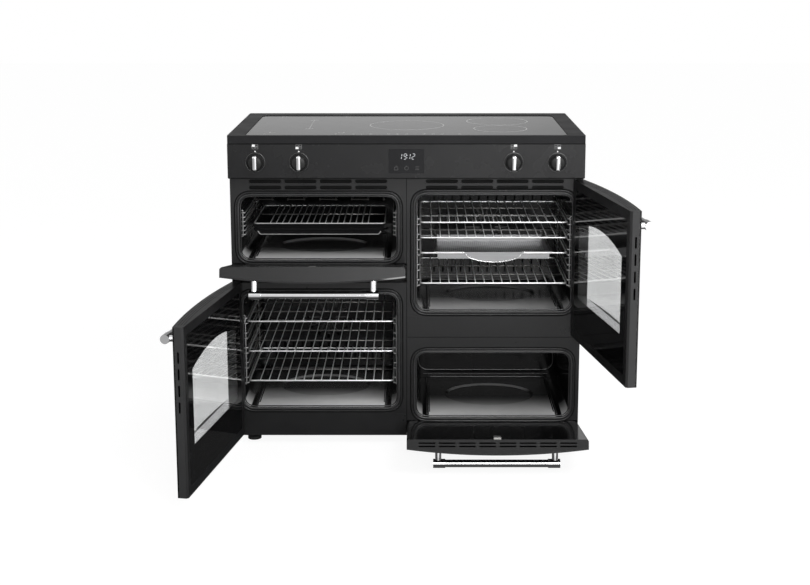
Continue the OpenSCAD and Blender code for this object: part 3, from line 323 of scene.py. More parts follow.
def clear_glass(name, tint, rough=0.01, ior=1.46):
    """Smoked or clear glass with the slightest unevenness in its polish."""
    material, tree, principled = shader(name)
    place = coords(tree)
    dress(tree, principled, ramp(tree, noise(tree, place, 4), [(0.3, shade(tint, 0.985)), (0.7, tint)]),
          spread(tree, noise(tree, place, 30), rough * 0.5, rough * 1.5))
    put(principled, {"Transmission Weight": 1, "IOR": ior})
    return material


def glow(name, color, strength):
    """A lit segment of the clock, a little uneven like a light guide."""
    material, tree, principled = shader(name)
    place = coords(tree)
    tree.links.new(ramp(tree, noise(tree, place, 260, 2), [(0.2, shade(color, 0.85)), (0.8, color)]),
                   principled.inputs["Emission Color"])
    put(principled, {"Emission Strength": strength, "Base Color": (*grey(0.02), 1), "Roughness": 0.3})
    return material


BLACK_SHEET = coated("black_sheet", (0.010, 0.010, 0.0105), 0.36, grain_depth=0.00003)
SURROUND = coated("hob_surround_enamel", (0.022, 0.022, 0.023), 0.34, cloud=5, grain=700, ior=1.12)
FASCIA = coated("fascia_enamel", (0.011, 0.011, 0.0115), 0.26, cloud=4, level=0.27)
# The front is darkened from 5.5 mm behind its face on, as painted shade in its slots
FRONT = enamel("front_enamel", (0.013, 0.013, 0.0135), 0.32, 1.5, shade_from=FRONT_Y + 0.0055)
LIP = enamel("lip_enamel", (0.020, 0.020, 0.0205), 0.24, 1.5, level=0.35)
# How pale each oven's floor is painted near its mouth, as painted light
FLOOR_LIT_GREY = {"grill": 0.80, "main": 0.92, "tall": 0.50, "slow": 0.74}
CAVITY = {oven: enamel(f"{oven}_cavity_enamel", (0.003, 0.003, 0.0033), 0.14, 2.4, 0.0003,
                       0.1 if oven == "slow" else 0.25, oven, lit_grey)
          for oven, lit_grey in FLOOR_LIT_GREY.items()}
# The cavity's enamel made ten times paler for its beads and flanges, as painted highlight
BEAD_HIGHLIGHT = enamel("bead_highlight_enamel", (0.030, 0.030, 0.0305), 0.20, 1.6, 0.0002, 0.5)
DARK_ENAMEL = enamel("dark_enamel", (0.004, 0.004, 0.0043), 0.20, 2.0, 0.0003, 0.2)
DOOR_BLACK = trimmed_black("door_black", (0.012, 0.012, 0.0125), (0.026, 0.026, 0.0265),
                           (0.007, 0.007, 0.0072))
DROP_DOOR = inside_black("drop_door_black", (0.009, 0.009, 0.0093), (0.004, 0.004, 0.0042))
DOOR_GLASS = clear_glass("smoked_glass", (0.905, 0.91, 0.91), ior=1.38)
OUTER_PRINT = coated("outer_glass_print", (0.004, 0.004, 0.0042), 0.6, level=0.0)
DOOR_PRINT = coated("black_glass_print", (0.003, 0.003, 0.0032), 0.06, grain=60, grain_depth=0.000008,
                    level=0.5)
LINING = metal("polished_lining", (0.86, 0.86, 0.87), 0.14, streaks=0.1, smudge=0.03)
BLACK_GLASS = coated("black_glass", (0.004, 0.004, 0.0045), 0.05, grain=60, grain_depth=0.00001, level=0.5)
HOB_GLASS = coated("hob_glass_black", (0.008, 0.008, 0.009), 0.10, vary=0.2, grain=60,
                   grain_depth=0.00001, level=0.4)
DISPLAY = coated("display_glass", (0.005, 0.005, 0.006), 0.16, grain=60, grain_depth=0.00001)
CHROME = metal("handle_chrome", (0.86, 0.86, 0.87), 0.08, smudge=0.015)
WIRE = metal("chromed_wire", grey(0.92), 0.34, stretch=(1, 0.15, 1), streaks=0.05, smudge=0.05,
             share=0.7)
LONG_WIRE = metal("satin_wire", grey(0.88), 0.42, stretch=(1, 0.1, 1), streaks=0.05, smudge=0.05,
                  share=0.5)
GRID_WIRE = metal("grid_wire", grey(0.44), 0.38, streaks=0.1, smudge=0.05, share=0.6)
DULL_WIRE = metal("heat_dulled_wire", (0.22, 0.215, 0.21), 0.34, stretch=(0.15, 1, 1), streaks=0.3,
                  smudge=0.06)
LADDER_WIRE = metal("ladder_wire", grey(0.42), 0.40, streaks=0.05, smudge=0.05, share=0.6)
STAINLESS = perforated("brushed_stainless", (0.33, 0.33, 0.335), 0.36, 0.006)
TRAY_EDGE = metal("rolled_edge", grey(0.9), 0.25, streaks=0.1, share=0.8)
GALVANISED = metal("galvanised", (0.56, 0.57, 0.58), 0.42, streaks=0.2, smudge=0.08, scale=40)
HINGE = metal("zinc_plated", (0.28, 0.275, 0.265), 0.36, streaks=0.2, smudge=0.06)
HEATED = metal("heat_tinted", (0.022, 0.021, 0.0205), 0.42, streaks=0.3, smudge=0.08)
MOTOR = metal("motor_metal", (0.45, 0.45, 0.46), 0.40, streaks=0.2, smudge=0.06)
FAN = metal("fan_steel", grey(0.10), 0.40, streaks=0.2, smudge=0.06)
COPPER = metal("copper_winding", (0.70, 0.38, 0.22), 0.32, stretch=(1, 1, 30), streaks=0.7)
SEAL = coated("seal", (0.018, 0.018, 0.0185), 0.36, vary=0.2, grain=500, grain_depth=0.0002, level=0.5)
FOOT = coated("foot_plastic", grey(0.018), 0.5, grain=800, grain_depth=0.0002)
SWITCH = coated("switch_plastic", (0.66, 0.65, 0.60), 0.42, vary=0.05, level=0.5)
LAMP = clear_glass("lamp_glass", (0.95, 0.95, 0.93), 0.05)
PAN = enamel("pan_enamel", (0.008, 0.008, 0.0085), 0.14, 2.0, level=0.5)
KNOB = coated("knob_black", grey(0.014), 0.34, grain=900, level=0.2)
SCREW = metal("black_screw", grey(0.05), 0.35, streaks=0.2, smudge=0.05)
PRINT = coated("grey_print", grey(0.20), 0.25, vary=0.15, cloud=60)
RING_PRINT = coated("ring_print", grey(0.66), 0.25, vary=0.1, cloud=60)
BEZEL = metal("knob_bezel", grey(0.11), 0.30, streaks=0.1)
# Near-black strips and plates put in gaps, grooves and behind slots, as painted shade
SHADOW = coated("gap_strip", grey(0.0025), 0.6, vary=0.2, level=0.1)
CATCH = coated("clear_catch", grey(0.11), 0.4, vary=0.1, cloud=40, level=0.2)
PALE_PRINT = coated("white_print", grey(0.82), 0.4, vary=0.04, cloud=60)
FAINT_PRINT = coated("faint_print", grey(0.05), 0.25, vary=0.15, cloud=60)
DIGITS = glow("clock_digits", (0.95, 0.97, 1.0), 0.75)

LOOKS = {
    "side_panels": BLACK_SHEET, "back_panel": GALVANISED, "base_tray": GALVANISED,
    "levelling_feet": FOOT, "hob_surround": SURROUND, "hob_glass": HOB_GLASS,
    "induction_coils": COPPER, "control_fascia": FASCIA, "display_panel": DISPLAY,
    "door_seals": SEAL, "side_ladders": LADDER_WIRE, "grill_element": HEATED,
    "fan_covers": DARK_ENAMEL, "ring_elements": HEATED, "fan_motors": MOTOR,
    "lamp_lenses": LAMP, "hinge_and_catch_plates": FRONT, "knob_switches": SWITCH,
    "tray_carrier": WIRE, "steam_tray": STAINLESS, "grill_pan": PAN, "grill_grid": WIRE,
    "fan_main": FAN, "fan_tall": FAN,
}
for oven in MIDDLES:
    tall_door = oven in ("main", "tall")
    LOOKS[f"front_frame_{oven}"] = FRONT
    LOOKS[f"cavity_{oven}"] = CAVITY[oven]
    LOOKS[f"door_{oven}_frame"] = DOOR_BLACK if tall_door else DROP_DOOR
    LOOKS[f"door_{oven}_outer_glass"] = DOOR_GLASS if tall_door else BLACK_GLASS
    LOOKS[f"door_{oven}_inner_glass"] = DOOR_GLASS
    LOOKS[f"door_{oven}_handle"] = CHROME
    LOOKS[f"door_{oven}_pins"] = SCREW if oven == "grill" else HINGE
for node in NODES:
    if node.startswith("rack_"):
        LOOKS[node] = WIRE
    if node.startswith("knob_") and node != "knob_switches":
        LOOKS[node] = KNOB
for name, thing in NODES.items():
    for place in thing.material_slots:
        place.material = LOOKS[name]
    if not thing.material_slots:
        thing.data.materials.append(LOOKS[name])

# --------------------------------------------
# Mesh helpers


def added(name, data):
    """A new object in the scene."""
    thing = bpy.data.objects.new(name, data)
    bpy.context.scene.collection.objects.link(thing)
    return thing


def piece(name, mesh, body, material, smooth=True):
    data = bpy.data.meshes.new(name)
    mesh.normal_update()
    mesh.to_mesh(data)
    mesh.free()
    thing = added(name, data)
    data.materials.append(material)
    if smooth:
        data.shade_smooth()
    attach(thing, body)
    return thing


def bent(points, radius, steps=4, closed=False):
    """The path with each corner replaced by a bend of that radius."""
    points = [Vector(p) for p in points]
    count = len(points)
    out = []
    for i, p in enumerate(points):
        if not closed and i in (0, count - 1):
            out.append(p)
            continue
        before, after = points[i - 1] - p, points[(i + 1) % count] - p
        r = min(radius, before.length * 0.49, after.length * 0.49)
        a, b = p + before.normalized() * r, p + after.normalized() * r
        for k in range(steps + 1):
            t = k / steps
            out.append(a * (1 - t) ** 2 + p * 2 * t * (1 - t) + b * t * t)
    return out


def level_rect(x0, x1, y0, y1, z, radius, steps=4):
    """A level rectangle with round corners, as a closed path."""
    return bent([(x0, y0, z), (x1, y0, z), (x1, y1, z), (x0, y1, z)], radius, steps, closed=True)


def turn(steps):
    """Angles of one full turn."""
    return [2 * math.pi * k / steps for k in range(steps)]


def bridge(mesh, a, b):
    """Faces between two rings of as many points."""
    for k in range(len(a)):
        j = (k + 1) % len(a)
        mesh.faces.new((a[k], a[j], b[j], b[k]))


def loft(mesh, rings):
    """A bar through the rings, closed at both ends."""
    for a, b in zip(rings, rings[1:]):
        bridge(mesh, a, b)
    mesh.faces.new(rings[0][::-1])
    mesh.faces.new(rings[-1])


def outward(mesh):
    """The mesh with its faces turned outwards."""
    bmesh.ops.recalc_face_normals(mesh, faces=list(mesh.faces))
    return mesh


def tube(mesh, path, radius, sides=12, closed=False):
    """A round wire along a path, with rounded ends where it is open."""
    path = [Vector(p) for p in path]
    count = len(path)
    rings = []
    normal = None
    for i, p in enumerate(path):
        if closed:
            along = (path[(i + 1) % count] - path[i - 1]).normalized()
        else:
            along = (path[min(i + 1, count - 1)] - path[max(i - 1, 0)]).normalized()
        if normal is None:
            normal = along.cross(Vector((0.31, 0.17, 0.93))).normalized()
        normal = (normal - along * normal.dot(along)).normalized()
        side = along.cross(normal)
        rings.append((p, along, normal, side))

    def ring(p, normal, side, r):
        return [mesh.verts.new(p + (normal * math.cos(a) + side * math.sin(a)) * r) for a in turn(sides)]

    made = [ring(p, n, s, radius) for p, _, n, s in rings]
    if not closed:
        for end, sign in ((0, -1), (-1, 1)):
            p, along, n, s = rings[end]
            cap = ring(p + along * sign * radius * 0.6, n, s, radius * 0.66)
            tip = mesh.verts.new(p + along * sign * radius * 0.85)
            for k in range(sides):
                j = (k + 1) % sides
                base = made[end]
                quad = (base[k], base[j], cap[j], cap[k])
                mesh.faces.new(quad if sign > 0 else quad[::-1])
                tri = (cap[k], cap[j], tip)
                mesh.faces.new(tri if sign > 0 else tri[::-1])
    spans = count if closed else count - 1
    for i in range(spans):
        a, b = made[i], made[(i + 1) % count]
        shift = 0
        if closed and i == count - 1:
            shift = min(range(sides), key=lambda d: (a[0].co - b[d].co).length)
        for k in range(sides):
            j = (k + 1) % sides
            mesh.faces.new((a[k], a[j], b[(j + shift) % sides], b[(k + shift) % sides]))


def slab(mesh, outline, lift, thick):
    """A thin printed or pressed shape: outline points in the plane, lifted by a function to 3-D."""
    top = [mesh.verts.new(lift(u, v, thick)) for u, v in outline]
    low = [mesh.verts.new(lift(u, v, 0)) for u, v in outline]
    loft(mesh, [low, top])


def cut_corners(half, height, cut):
    """A rectangle standing on its base, with its two upper corners cut off."""
    return [(-half, 0), (half, 0), (half, height - cut), (half - cut, height), (cut - half, height),
            (-half, height - cut)]


def band(mesh, lift, centre, inner, outer, thick, steps=64):
    """A flat ring about a point of the plane, or a dot where inner is 0."""
    rows = []
    for r, h in ((inner, 0), (outer, 0), (outer, thick), (inner, thick)):
        rows.append([mesh.verts.new(lift(centre[0] + r * math.cos(a), centre[1] + r * math.sin(a), h))
                     for a in turn(steps)])
    for i in range(4):
        bridge(mesh, rows[i], rows[(i + 1) % 4])


def lathe(mesh, profile, centre, steps=64):
    """Turns a profile of (distance out, radius) about a level axis through centre, towards -Y."""
    rings = []
    for out, r in profile:
        if r < 1e-6:
            rings.append([mesh.verts.new(centre + Vector((0, -out, 0)))])
            continue
        rings.append([mesh.verts.new(centre + Vector((r * math.cos(a), -out, r * math.sin(a))))
                      for a in turn(steps)])
    for a, b in zip(rings, rings[1:]):
        if len(a) == len(b):
            bridge(mesh, a, b)
            continue
        for k in range(steps):
            j = (k + 1) % steps
            mesh.faces.new((a[0], b[j], b[k]) if len(a) == 1 else (a[k], a[j], b[0]))


# --------------------------------------------
# Racks, ladders, tray and pan

RACK_Y0, RACK_Y1 = -0.211, 0.129
RAIL_X, RIM_BEND = 0.2105, 0.010
RIM_R, WIRE_R = 0.0025, 0.0015
WIRE_PITCH, WIRE_COUNT = 0.0255, 7


def rack_rim(x, z):
    return level_rect(x - RAIL_X, x + RAIL_X, RACK_Y0 + RIM_R, RACK_Y1 - RIM_R, z, RIM_BEND)


def wire_rack(node, x):
    """Rim, two cross wires under it, and long wires that lie on the rim."""
    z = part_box(node)[0].z + RIM_R
    cross = bmesh.new()
    y0, y1 = RACK_Y0 + RIM_R, RACK_Y1 - RIM_R
    for t in (1 / 3, 2 / 3):
        y = y0 + t * (y1 - y0)
        tube(cross, [(x - RAIL_X, y, z - 0.0002), (x + RAIL_X, y, z - 0.0002)], RIM_R - 0.0006)
    piece(node + "_cross_wires", cross, node, DULL_WIRE)
    top = z + RIM_R + WIRE_R - 0.0009
    along = bmesh.new()
    for n in range(-WIRE_COUNT, WIRE_COUNT + 1):
        wx = x + n * WIRE_PITCH
        tube(along, [(wx, RACK_Y0 + 0.0008, top), (wx, RACK_Y1 - 0.0008, top)], WIRE_R, sides=10)
    piece(node + "_long_wires", along, node, LONG_WIRE)
    rim = bmesh.new()
    tube(rim, rack_rim(x, z), RIM_R, closed=True)
    thing = piece(node + "_wires", rim, node, WIRE)
    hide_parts(node)


for oven in ("main", "tall"):
    for level in ("low", "mid", "high"):
        wire_rack(f"rack_{oven}_{level}", MIDDLES[oven])

# Ladders, for each oven: lowest runner, pitch, a guard's height over its runner, and levels
LADDERS = {"main": (0.179, 0.04475, 0.016, 5), "tall": (0.472, 0.04475, 0.016, 5),
           "grill": (0.621, 0.0255, 0.0125, 3)}
WALL_X, POST_X, RUNNER_X = 0.224, 0.2195, 0.2125
LADDER_Y0, LADDER_Y1 = -0.211, 0.139
POST_IN = 0.006


def ladder(mesh, oven, side):
    """Two posts, and runners whose front ends turn across the front post."""
    low, pitch, guard, levels = LADDERS[oven]
    wall, post, run = (MIDDLES[oven] + side * x for x in (WALL_X, POST_X, RUNNER_X))
    foot, head = low - POST_IN, low + (levels - 1) * pitch + guard + POST_IN
    for y in (LADDER_Y0 + POST_IN, LADDER_Y1 - POST_IN):
        tube(mesh, bent([(wall, y, foot), (post, y, foot), (post, y, head), (wall, y, head)], 0.003), 0.0016)
    for n in range(levels):
        for up in (0, guard):
            z = low + n * pitch + up
            path = [(run + side * 0.009, LADDER_Y0 - 0.001, z), (run, LADDER_Y0 - 0.001, z),
                    (run, LADDER_Y1, z)]
            tube(mesh, bent(path, 0.004), 0.0018, sides=10)


mesh = bmesh.new()
for oven in LADDERS:
    for side in (-1, 1):
        ladder(mesh, oven, side)
ladders = piece("ladder_wires", mesh, "cabinet", LADDER_WIRE)
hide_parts("side_ladders")

# Carrier of the stainless tray: a rim, a wire beside each flank of the tray and one across
CARRIER_WIRE_X, CARRIER_CROSS_IN = 0.1639, 0.25
tray_x = MIDDLES["tall"]
mesh = bmesh.new()
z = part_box("tray_carrier")[0].z + RIM_R
tube(mesh, rack_rim(tray_x, z), RIM_R, closed=True)
for x in (tray_x - CARRIER_WIRE_X, tray_x + CARRIER_WIRE_X):
    tube(mesh, [(x, RACK_Y0 + 0.001, z), (x, RACK_Y1 - 0.001, z)], RIM_R)
y = RACK_Y0 + CARRIER_CROSS_IN
tube(mesh, [(tray_x - RAIL_X, y, z), (tray_x + RAIL_X, y, z)], RIM_R - 0.0003)
thing = piece("tray_carrier_wires", mesh, "steam_tray", WIRE)
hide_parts("tray_carrier")

# Rolled edge along the tray's front plate, whose middle dips in an arc
LIP_HALF, SHOULDER_X, DIP_HALF, DIP_STEP, DIP_R = 0.090, 0.085, 0.071, 0.016, 0.2
low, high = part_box("steam_tray")
top = high.z - 0.0006
outline = [(-LIP_HALF, top), (-SHOULDER_X, top)]
for k in range(13):
    t = DIP_HALF * (k / 6 - 1)
    sag = math.sqrt(DIP_R ** 2 - t ** 2) - math.sqrt(DIP_R ** 2 - DIP_HALF ** 2)
    outline.append((t, top - DIP_STEP - sag))
outline += [(SHOULDER_X, top), (LIP_HALF, top)]
mesh = bmesh.new()
tube(mesh, bent([(tray_x + u, low.y, z) for u, z in outline], 0.004), 0.0012)
piece("tray_rolled_edge", mesh, "steam_tray", TRAY_EDGE)

# Grid of the grill pan
GRID_R, GRID_PITCH, GRID_COUNT = 0.002, 0.0175, 8
pan_x = MIDDLES["grill"]
mesh = bmesh.new()
low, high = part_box("grill_grid")
x0, x1, z = low.x + GRID_R, high.x - GRID_R, low.z + GRID_R
tube(mesh, level_rect(x0, x1, low.y + GRID_R, high.y - GRID_R, z, 0.012), GRID_R, closed=True)
cross = bmesh.new()
y = (low.y + high.y) / 2
tube(cross, [(x0, y, z), (x1, y, z)], GRID_R)
piece("grill_grid_cross_wire", cross, "grill_pan", DULL_WIRE)
for n in range(-GRID_COUNT, GRID_COUNT + 1):
    x = pan_x + n * GRID_PITCH
    tube(mesh, [(x, low.y + 0.001, z + 0.0027), (x, high.y - 0.001, z + 0.0027)], WIRE_R, sides=10)
thing = piece("grill_grid_wires", mesh, "grill_pan", GRID_WIRE)
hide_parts("grill_grid")

# Bright metal strip along the foot of the pan's front wall, a painted highlight of its crease
low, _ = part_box("grill_pan")
mesh = bmesh.new()
path = [(pan_x + u, low.y + 0.0002, low.z + v)
        for u, v in ((-0.176, 0.010), (-0.170, 0.0012), (0.170, 0.0012), (0.176, 0.010))]
tube(mesh, bent(path, 0.004), 0.0010)
piece("grill_pan_crease_highlight", mesh, "grill_pan", GRID_WIRE)

# --------------------------------------------
# Mouths of the ovens: from outside in a dark ring as a groove's painted shade, a pressed lip, a hollow seal
# and the turned-in flange, painted paler as painted highlight


def mouth_path(oven, grow, y):
    """The mouth's rounded outline, grown or shrunk."""
    x, (z0, z1) = MIDDLES[oven], MOUTHS[oven]
    x0, x1 = x - MOUTH_HALF - grow, x + MOUTH_HALF + grow
    corners = [(x0, y, z0 - grow), (x1, y, z0 - grow), (x1, y, z1 + grow), (x0, y, z1 + grow)]
    return bent(corners, (MOUTH_R + grow) * 1.15, 8, closed=True)


def mouth_rings(grow, back, radius, sides=10):
    """A ring round each mouth, its centre line that far behind the fronts' face."""
    mesh = bmesh.new()
    for oven in MOUTHS:
        tube(mesh, mouth_path(oven, grow, FRONT_Y + back), radius, sides=sides, closed=True)
    return mesh


seal = piece("hollow_seals", mouth_rings(-0.0042, 0.0006, 0.0036, 14), "cabinet", SEAL)
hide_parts("door_seals")
piece("mouth_lips", mouth_rings(0.0032, 0.0003, 0.0020), "cabinet", LIP)
# A near-black ring outside each lip, as the painted shade of a groove
piece("mouth_groove_shade", mouth_rings(0.0066, 0.0005, 0.0018), "cabinet", SHADOW)
piece("cavity_flanges", mouth_rings(-0.0095, 0.0060, 0.0020), "cabinet", BEAD_HIGHLIGHT)

# Dark plates behind the cooling slots, as painted shade
SLOT_Z, SHADE_PLATE_HALF, SHADE_PLATE_H = 0.759, 0.1985, 0.0345
mesh = bmesh.new()
for x in (-OVEN_X, OVEN_X):
    slab(mesh, cut_corners(SHADE_PLATE_HALF, SHADE_PLATE_H, 0.0025),
         lambda u, v, h: Vector((x + u, FRONT_Y + SHEET_T + 0.0002 - h, SLOT_Z + v)), 0.0004)
piece("slot_shade_plates", mesh, "cabinet", SHADOW, smooth=False)

# Dark strips in the gaps between the four fronts, as painted shade, each from (x, z) to (x, z)
SEAMS = (((0, 0.036), (0, 0.793)), ((0.003, 0.324), (0.497, 0.324)), ((-0.497, 0.486), (-0.003, 0.486)))
mesh = bmesh.new()
for ends in SEAMS:
    tube(mesh, [(x, FRONT_Y + 0.0007, z) for x, z in ends], 0.0011, sides=10)
piece("front_gap_shade", mesh, "cabinet", SHADOW)

# Beads pressed into the ovens' floors, and two into the low oven's back wall
BEAD_X, BEAD_Y0, BEAD_Y1, BEAD_R = 0.190, -0.212, 0.150, 0.0028
SLOW_BACK_Y, BACK_BEAD_TOP = 0.1818, 0.262
mesh = bmesh.new()
for oven, z in FLOORS.items():
    corners = ((-BEAD_X, BEAD_Y0), (-BEAD_X, BEAD_Y1), (BEAD_X, BEAD_Y1), (BEAD_X, BEAD_Y0))
    tube(mesh, bent([(MIDDLES[oven] + u, y, z + 0.0002) for u, y in corners], 0.022, 8), BEAD_R)
for half, foot in ((0.216, 0.0965), (0.197, 0.107)):
    corners = ((-half, BACK_BEAD_TOP), (-half, foot), (half, foot), (half, BACK_BEAD_TOP))
    tube(mesh, bent([(MIDDLES["slow"] + u, SLOW_BACK_Y, z) for u, z in corners], 0.034, 8), BEAD_R)
# The beads are in enamel painted paler, as painted highlight
piece("floor_beads", mesh, "cabinet", BEAD_HIGHLIGHT)

# --------------------------------------------
# Tall doors: black prints and bright lining round the window, dark strips as painted groove shade and screws
# at the ends

DOOR_X, DOOR_HALF = 0.24925, 0.24775
DOOR_IN_Y, DOOR_OUT_Y = -0.2425, -0.2865
DOOR_GLASS_T = 0.004
PIN_X, PIN_Y = 0.486, -0.2545
TALL_DOORS = {"main": (-1, 0.035), "tall": (1, 0.332)}
TALL_H, TALL_OPEN = 0.455, 100
WINDOW_HALF, WINDOW_UP, WINDOW_H, WINDOW_RISE = 0.187, 0.124, 0.205, 0.030
PANE_HALF, PANE_IN = 0.2217, 0.026
PRINT_IN = 0.0006


def swung(side, x, y, z):
    """A place on a shut tall door, taken to where the open door has it."""
    pin = Vector((side * PIN_X, PIN_Y, 0))
    return pin + Matrix.Rotation(math.radians(side * TALL_OPEN), 3, "Z") @ (Vector((x, y, z)) - pin)


def window_top(u, grow):
    """Height of the window's arched top at u, above the door's lower edge."""
    half = WINDOW_HALF + grow
    radius = (half ** 2 + WINDOW_RISE ** 2) / (2 * WINDOW_RISE)
    return WINDOW_UP + WINDOW_H + grow + WINDOW_RISE - radius + math.sqrt(radius ** 2 - u ** 2)


def window_points(grow, steps=32):
    """The window's outline about the door's middle: (across, above the door's lower edge)."""
    half = WINDOW_HALF + grow
    out = [(-half, WINDOW_UP - grow), (half, WINDOW_UP - grow)]
    for k in range(steps + 1):
        u = half - 2 * half * k / steps
        out.append((u, window_top(u, grow)))
    return out


def outer_y(u, back):
    """A place that far behind the bowed outer face."""
    return DOOR_OUT_Y + u * u / 3.852 + back


def inner_print(at):
    """Print on the inner glass, with the window left free."""
    mesh = bmesh.new()
    u, low, high = PANE_HALF, PANE_IN, TALL_H - PANE_IN
    corners = bent([(-u, 0, low), (u, 0, low), (u, 0, high), (-u, 0, high)], 0.006, 4, closed=True)
    edges = []
    for outline in ([(p.x, p.z) for p in corners], window_points(-PRINT_IN)):
        verts = [mesh.verts.new(at(u, DOOR_IN_Y + 0.0003, v)) for u, v in outline]
        edges += [mesh.edges.new(pair) for pair in zip(verts, verts[1:] + verts[:1])]
    bmesh.ops.triangle_fill(mesh, use_beauty=True, use_dissolve=False, edges=edges)
    bmesh.ops.solidify(mesh, geom=list(mesh.faces), thickness=0.0002)
    return outward(mesh)


def outer_print(at):
    """Print in the back of the outer glass: strips beside, below and above the window."""
    mesh = bmesh.new()
    half, foot, head = WINDOW_HALF + PRINT_IN, PRINT_IN, TALL_H - PRINT_IN
    width = DOOR_HALF - PRINT_IN - half
    flank = [half + width * k / 4 for k in range(5)]
    middle = [-half + 2 * half * k / 26 for k in range(27)]
    strips = [[(-u, foot, head) for u in reversed(flank)],
              [(u, foot, WINDOW_UP - PRINT_IN) for u in middle],
              [(u, window_top(u, PRINT_IN), head) for u in middle],
              [(u, foot, head) for u in flank]]
    front, back = DOOR_GLASS_T - 0.0004, DOOR_GLASS_T - 0.0002
    for strip in strips:
        rings = [[mesh.verts.new(at(u, outer_y(u, depth), v))
                  for depth, v in ((front, low), (front, high), (back, high), (back, low))]
                 for u, low, high in strip]
        loft(mesh, rings)
    return outward(mesh)


def window_lining(at, side):
    """Lining of the window between the two panes, open on the hinge's side."""
    mesh = bmesh.new()
    rows = []
    for grow in (-0.0001, -0.0005):
        for y in (lambda u: DOOR_IN_Y - DOOR_GLASS_T - 0.0002, lambda u: outer_y(u, DOOR_GLASS_T + 0.00005)):
            rows.append([mesh.verts.new(at(-side * u, y(u), v)) for u, v in window_points(grow)])
    near_out, far_out, near_in, far_in = rows
    loft(mesh, list(zip(near_out, far_out, far_in, near_in)))
    return outward(mesh)


def end_groove_shade(at, side):
    """Three dark strips along the top of the door and three along its bottom, as painted shade of grooves.
    """
    mesh = bmesh.new()
    for v in (TALL_H - 0.0006, 0.0006):
        for back in (0.011, 0.018, 0.025):
            across = [side * (-0.226 + 0.422 * k / 16) for k in range(17)]
            tube(mesh, [at(u, outer_y(u, back), v) for u in across], 0.0009, sides=8)
    return mesh


def edge_screws(at):
    """Screws of the strips on both upright edges."""
    mesh = bmesh.new()
    for s in (-1, 1):
        for v in (0.014, 0.030, TALL_H - 0.030, TALL_H - 0.014):
            path = [at(s * (DOOR_HALF - into), DOOR_IN_Y - 0.0075, v) for into in (0.004, 0.0016)]
            tube(mesh, path, 0.0021, sides=14)
    return mesh


for oven, (side, z0) in TALL_DOORS.items():
    door = f"door_{oven}"
    at = lambda u, y, v: swung(side, side * DOOR_X + u, y, z0 + v)
    piece(f"{door}_glass_print", inner_print(at), door, DOOR_PRINT, smooth=False)
    piece(f"{door}_outer_print", outer_print(at), door, OUTER_PRINT, smooth=False)
    piece(f"{door}_window_lining", window_lining(at, side), door, LINING, smooth=False)
    piece(f"{door}_end_groove_shade", end_groove_shade(at, side), door, SHADOW)
    piece(f"{door}_edge_screws", edge_screws(at), door, SCREW)

# Drop doors, for each: middle, lower edge, hinge's height and angle. They have a screw at each
# end of the vents, and the low one a catch plate on its inner face
DROP_DOORS = {"grill": (-DOOR_X, 0.493, 0.532, 79), "slow": (DOOR_X, 0.035, 0.062, 81)}
DROP_H = 0.294


def dropped(oven, u, y, v):
    """A place on a shut drop door, taken to where the open door has it."""
    x, z0, hinge, angle = DROP_DOORS[oven]
    pin = Vector((0, PIN_Y, hinge))
    return pin + Matrix.Rotation(math.radians(angle), 3, "X") @ (Vector((x + u, y, z0 + v)) - pin)


for oven in DROP_DOORS:
    mesh = bmesh.new()
    for u in (-0.2395, 0.2395):
        path = [dropped(oven, u, DOOR_IN_Y - 0.0120, DROP_H - into) for into in (0.0040, 0.0022)]
        tube(mesh, path, 0.0028, sides=16)
    piece(f"door_{oven}_end_screws", mesh, f"door_{oven}", SCREW)
mesh = bmesh.new()
slab(mesh, cut_corners(0.0095, 0.0235, 0.001),
     lambda u, v, h: dropped("slow", u, DOOR_IN_Y + 0.0030 + h * 4, DROP_H - 0.0358 + v), 0.0001)
piece("door_slow_catch_face", mesh, "door_slow", CATCH, smooth=False)

# --------------------------------------------
# Knobs: a turned black body with a chromed bar across it

# Each knob's place across, and its own oven's place in the sign above it: (column, row)
KNOBS = {"knob_outer_left": (-0.422, (0, 1)), "knob_inner_left": (-0.300, (0, 0)),
         "knob_inner_right": (0.300, (1, 1)), "knob_outer_right": (0.422, (1, 0))}
KNOB_Y, KNOB_Z = FASCIA_Y - 0.0006, 0.840
GRIP_HALF, GRIP_REACH = 0.0055, 0.0212


def knob_body(centre):
    """A skirt, and a cap that tapers to a rounded face."""
    mesh = bmesh.new()
    lathe(mesh, [(0, 0), (0, 0.0222), (0.0008, 0.0230), (0.0068, 0.0230), (0.0080, 0.0222),
                 (0.0084, 0.0216), (0.0190, 0.0190), (0.0204, 0.0182), (0.0210, 0.0168), (0.0212, 0)],
          centre)
    return mesh


def grip_bar(centre):
    """A bar with a rounded nose, from the lower rim to the upper, a little lower at its ends."""
    mesh = bmesh.new()
    stations = [-1, -0.985, -0.95, -0.9, -0.82, -0.7, 0, 0.7, 0.82, 0.9, 0.95, 0.985, 1]
    rows = []
    for t in stations:
        edge = max(0.0, 1 - abs(t) ** 16)
        out = 0.0165 + 0.0100 * edge ** 0.5
        width = GRIP_HALF * (0.86 + 0.14 * edge ** 0.5)
        section = [(-width, 0.012), (-width, out - 0.0016), (-width + 0.0006, out - 0.0005),
                   (-width + 0.0018, out), (width - 0.0018, out), (width - 0.0006, out - 0.0005),
                   (width, out - 0.0016), (width, 0.012)]
        rows.append([mesh.verts.new(centre + Vector((u, -w, t * GRIP_REACH))) for u, w in section])
    loft(mesh, rows)
    return mesh


for node, (x, _) in KNOBS.items():
    centre = Vector((x, KNOB_Y, KNOB_Z))
    body = piece(node + "_body", knob_body(centre), node, KNOB)
    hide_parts(node)
    bar = piece(node + "_grip", grip_bar(centre), node, CHROME)
    bevel = bar.modifiers.new("soft", "BEVEL")
    bevel.width = 0.0004
    bevel.segments = 2
    bevel.limit_method = "ANGLE"

# --------------------------------------------
# Signs on the fascia and the clock

PRINT_T = 0.00012


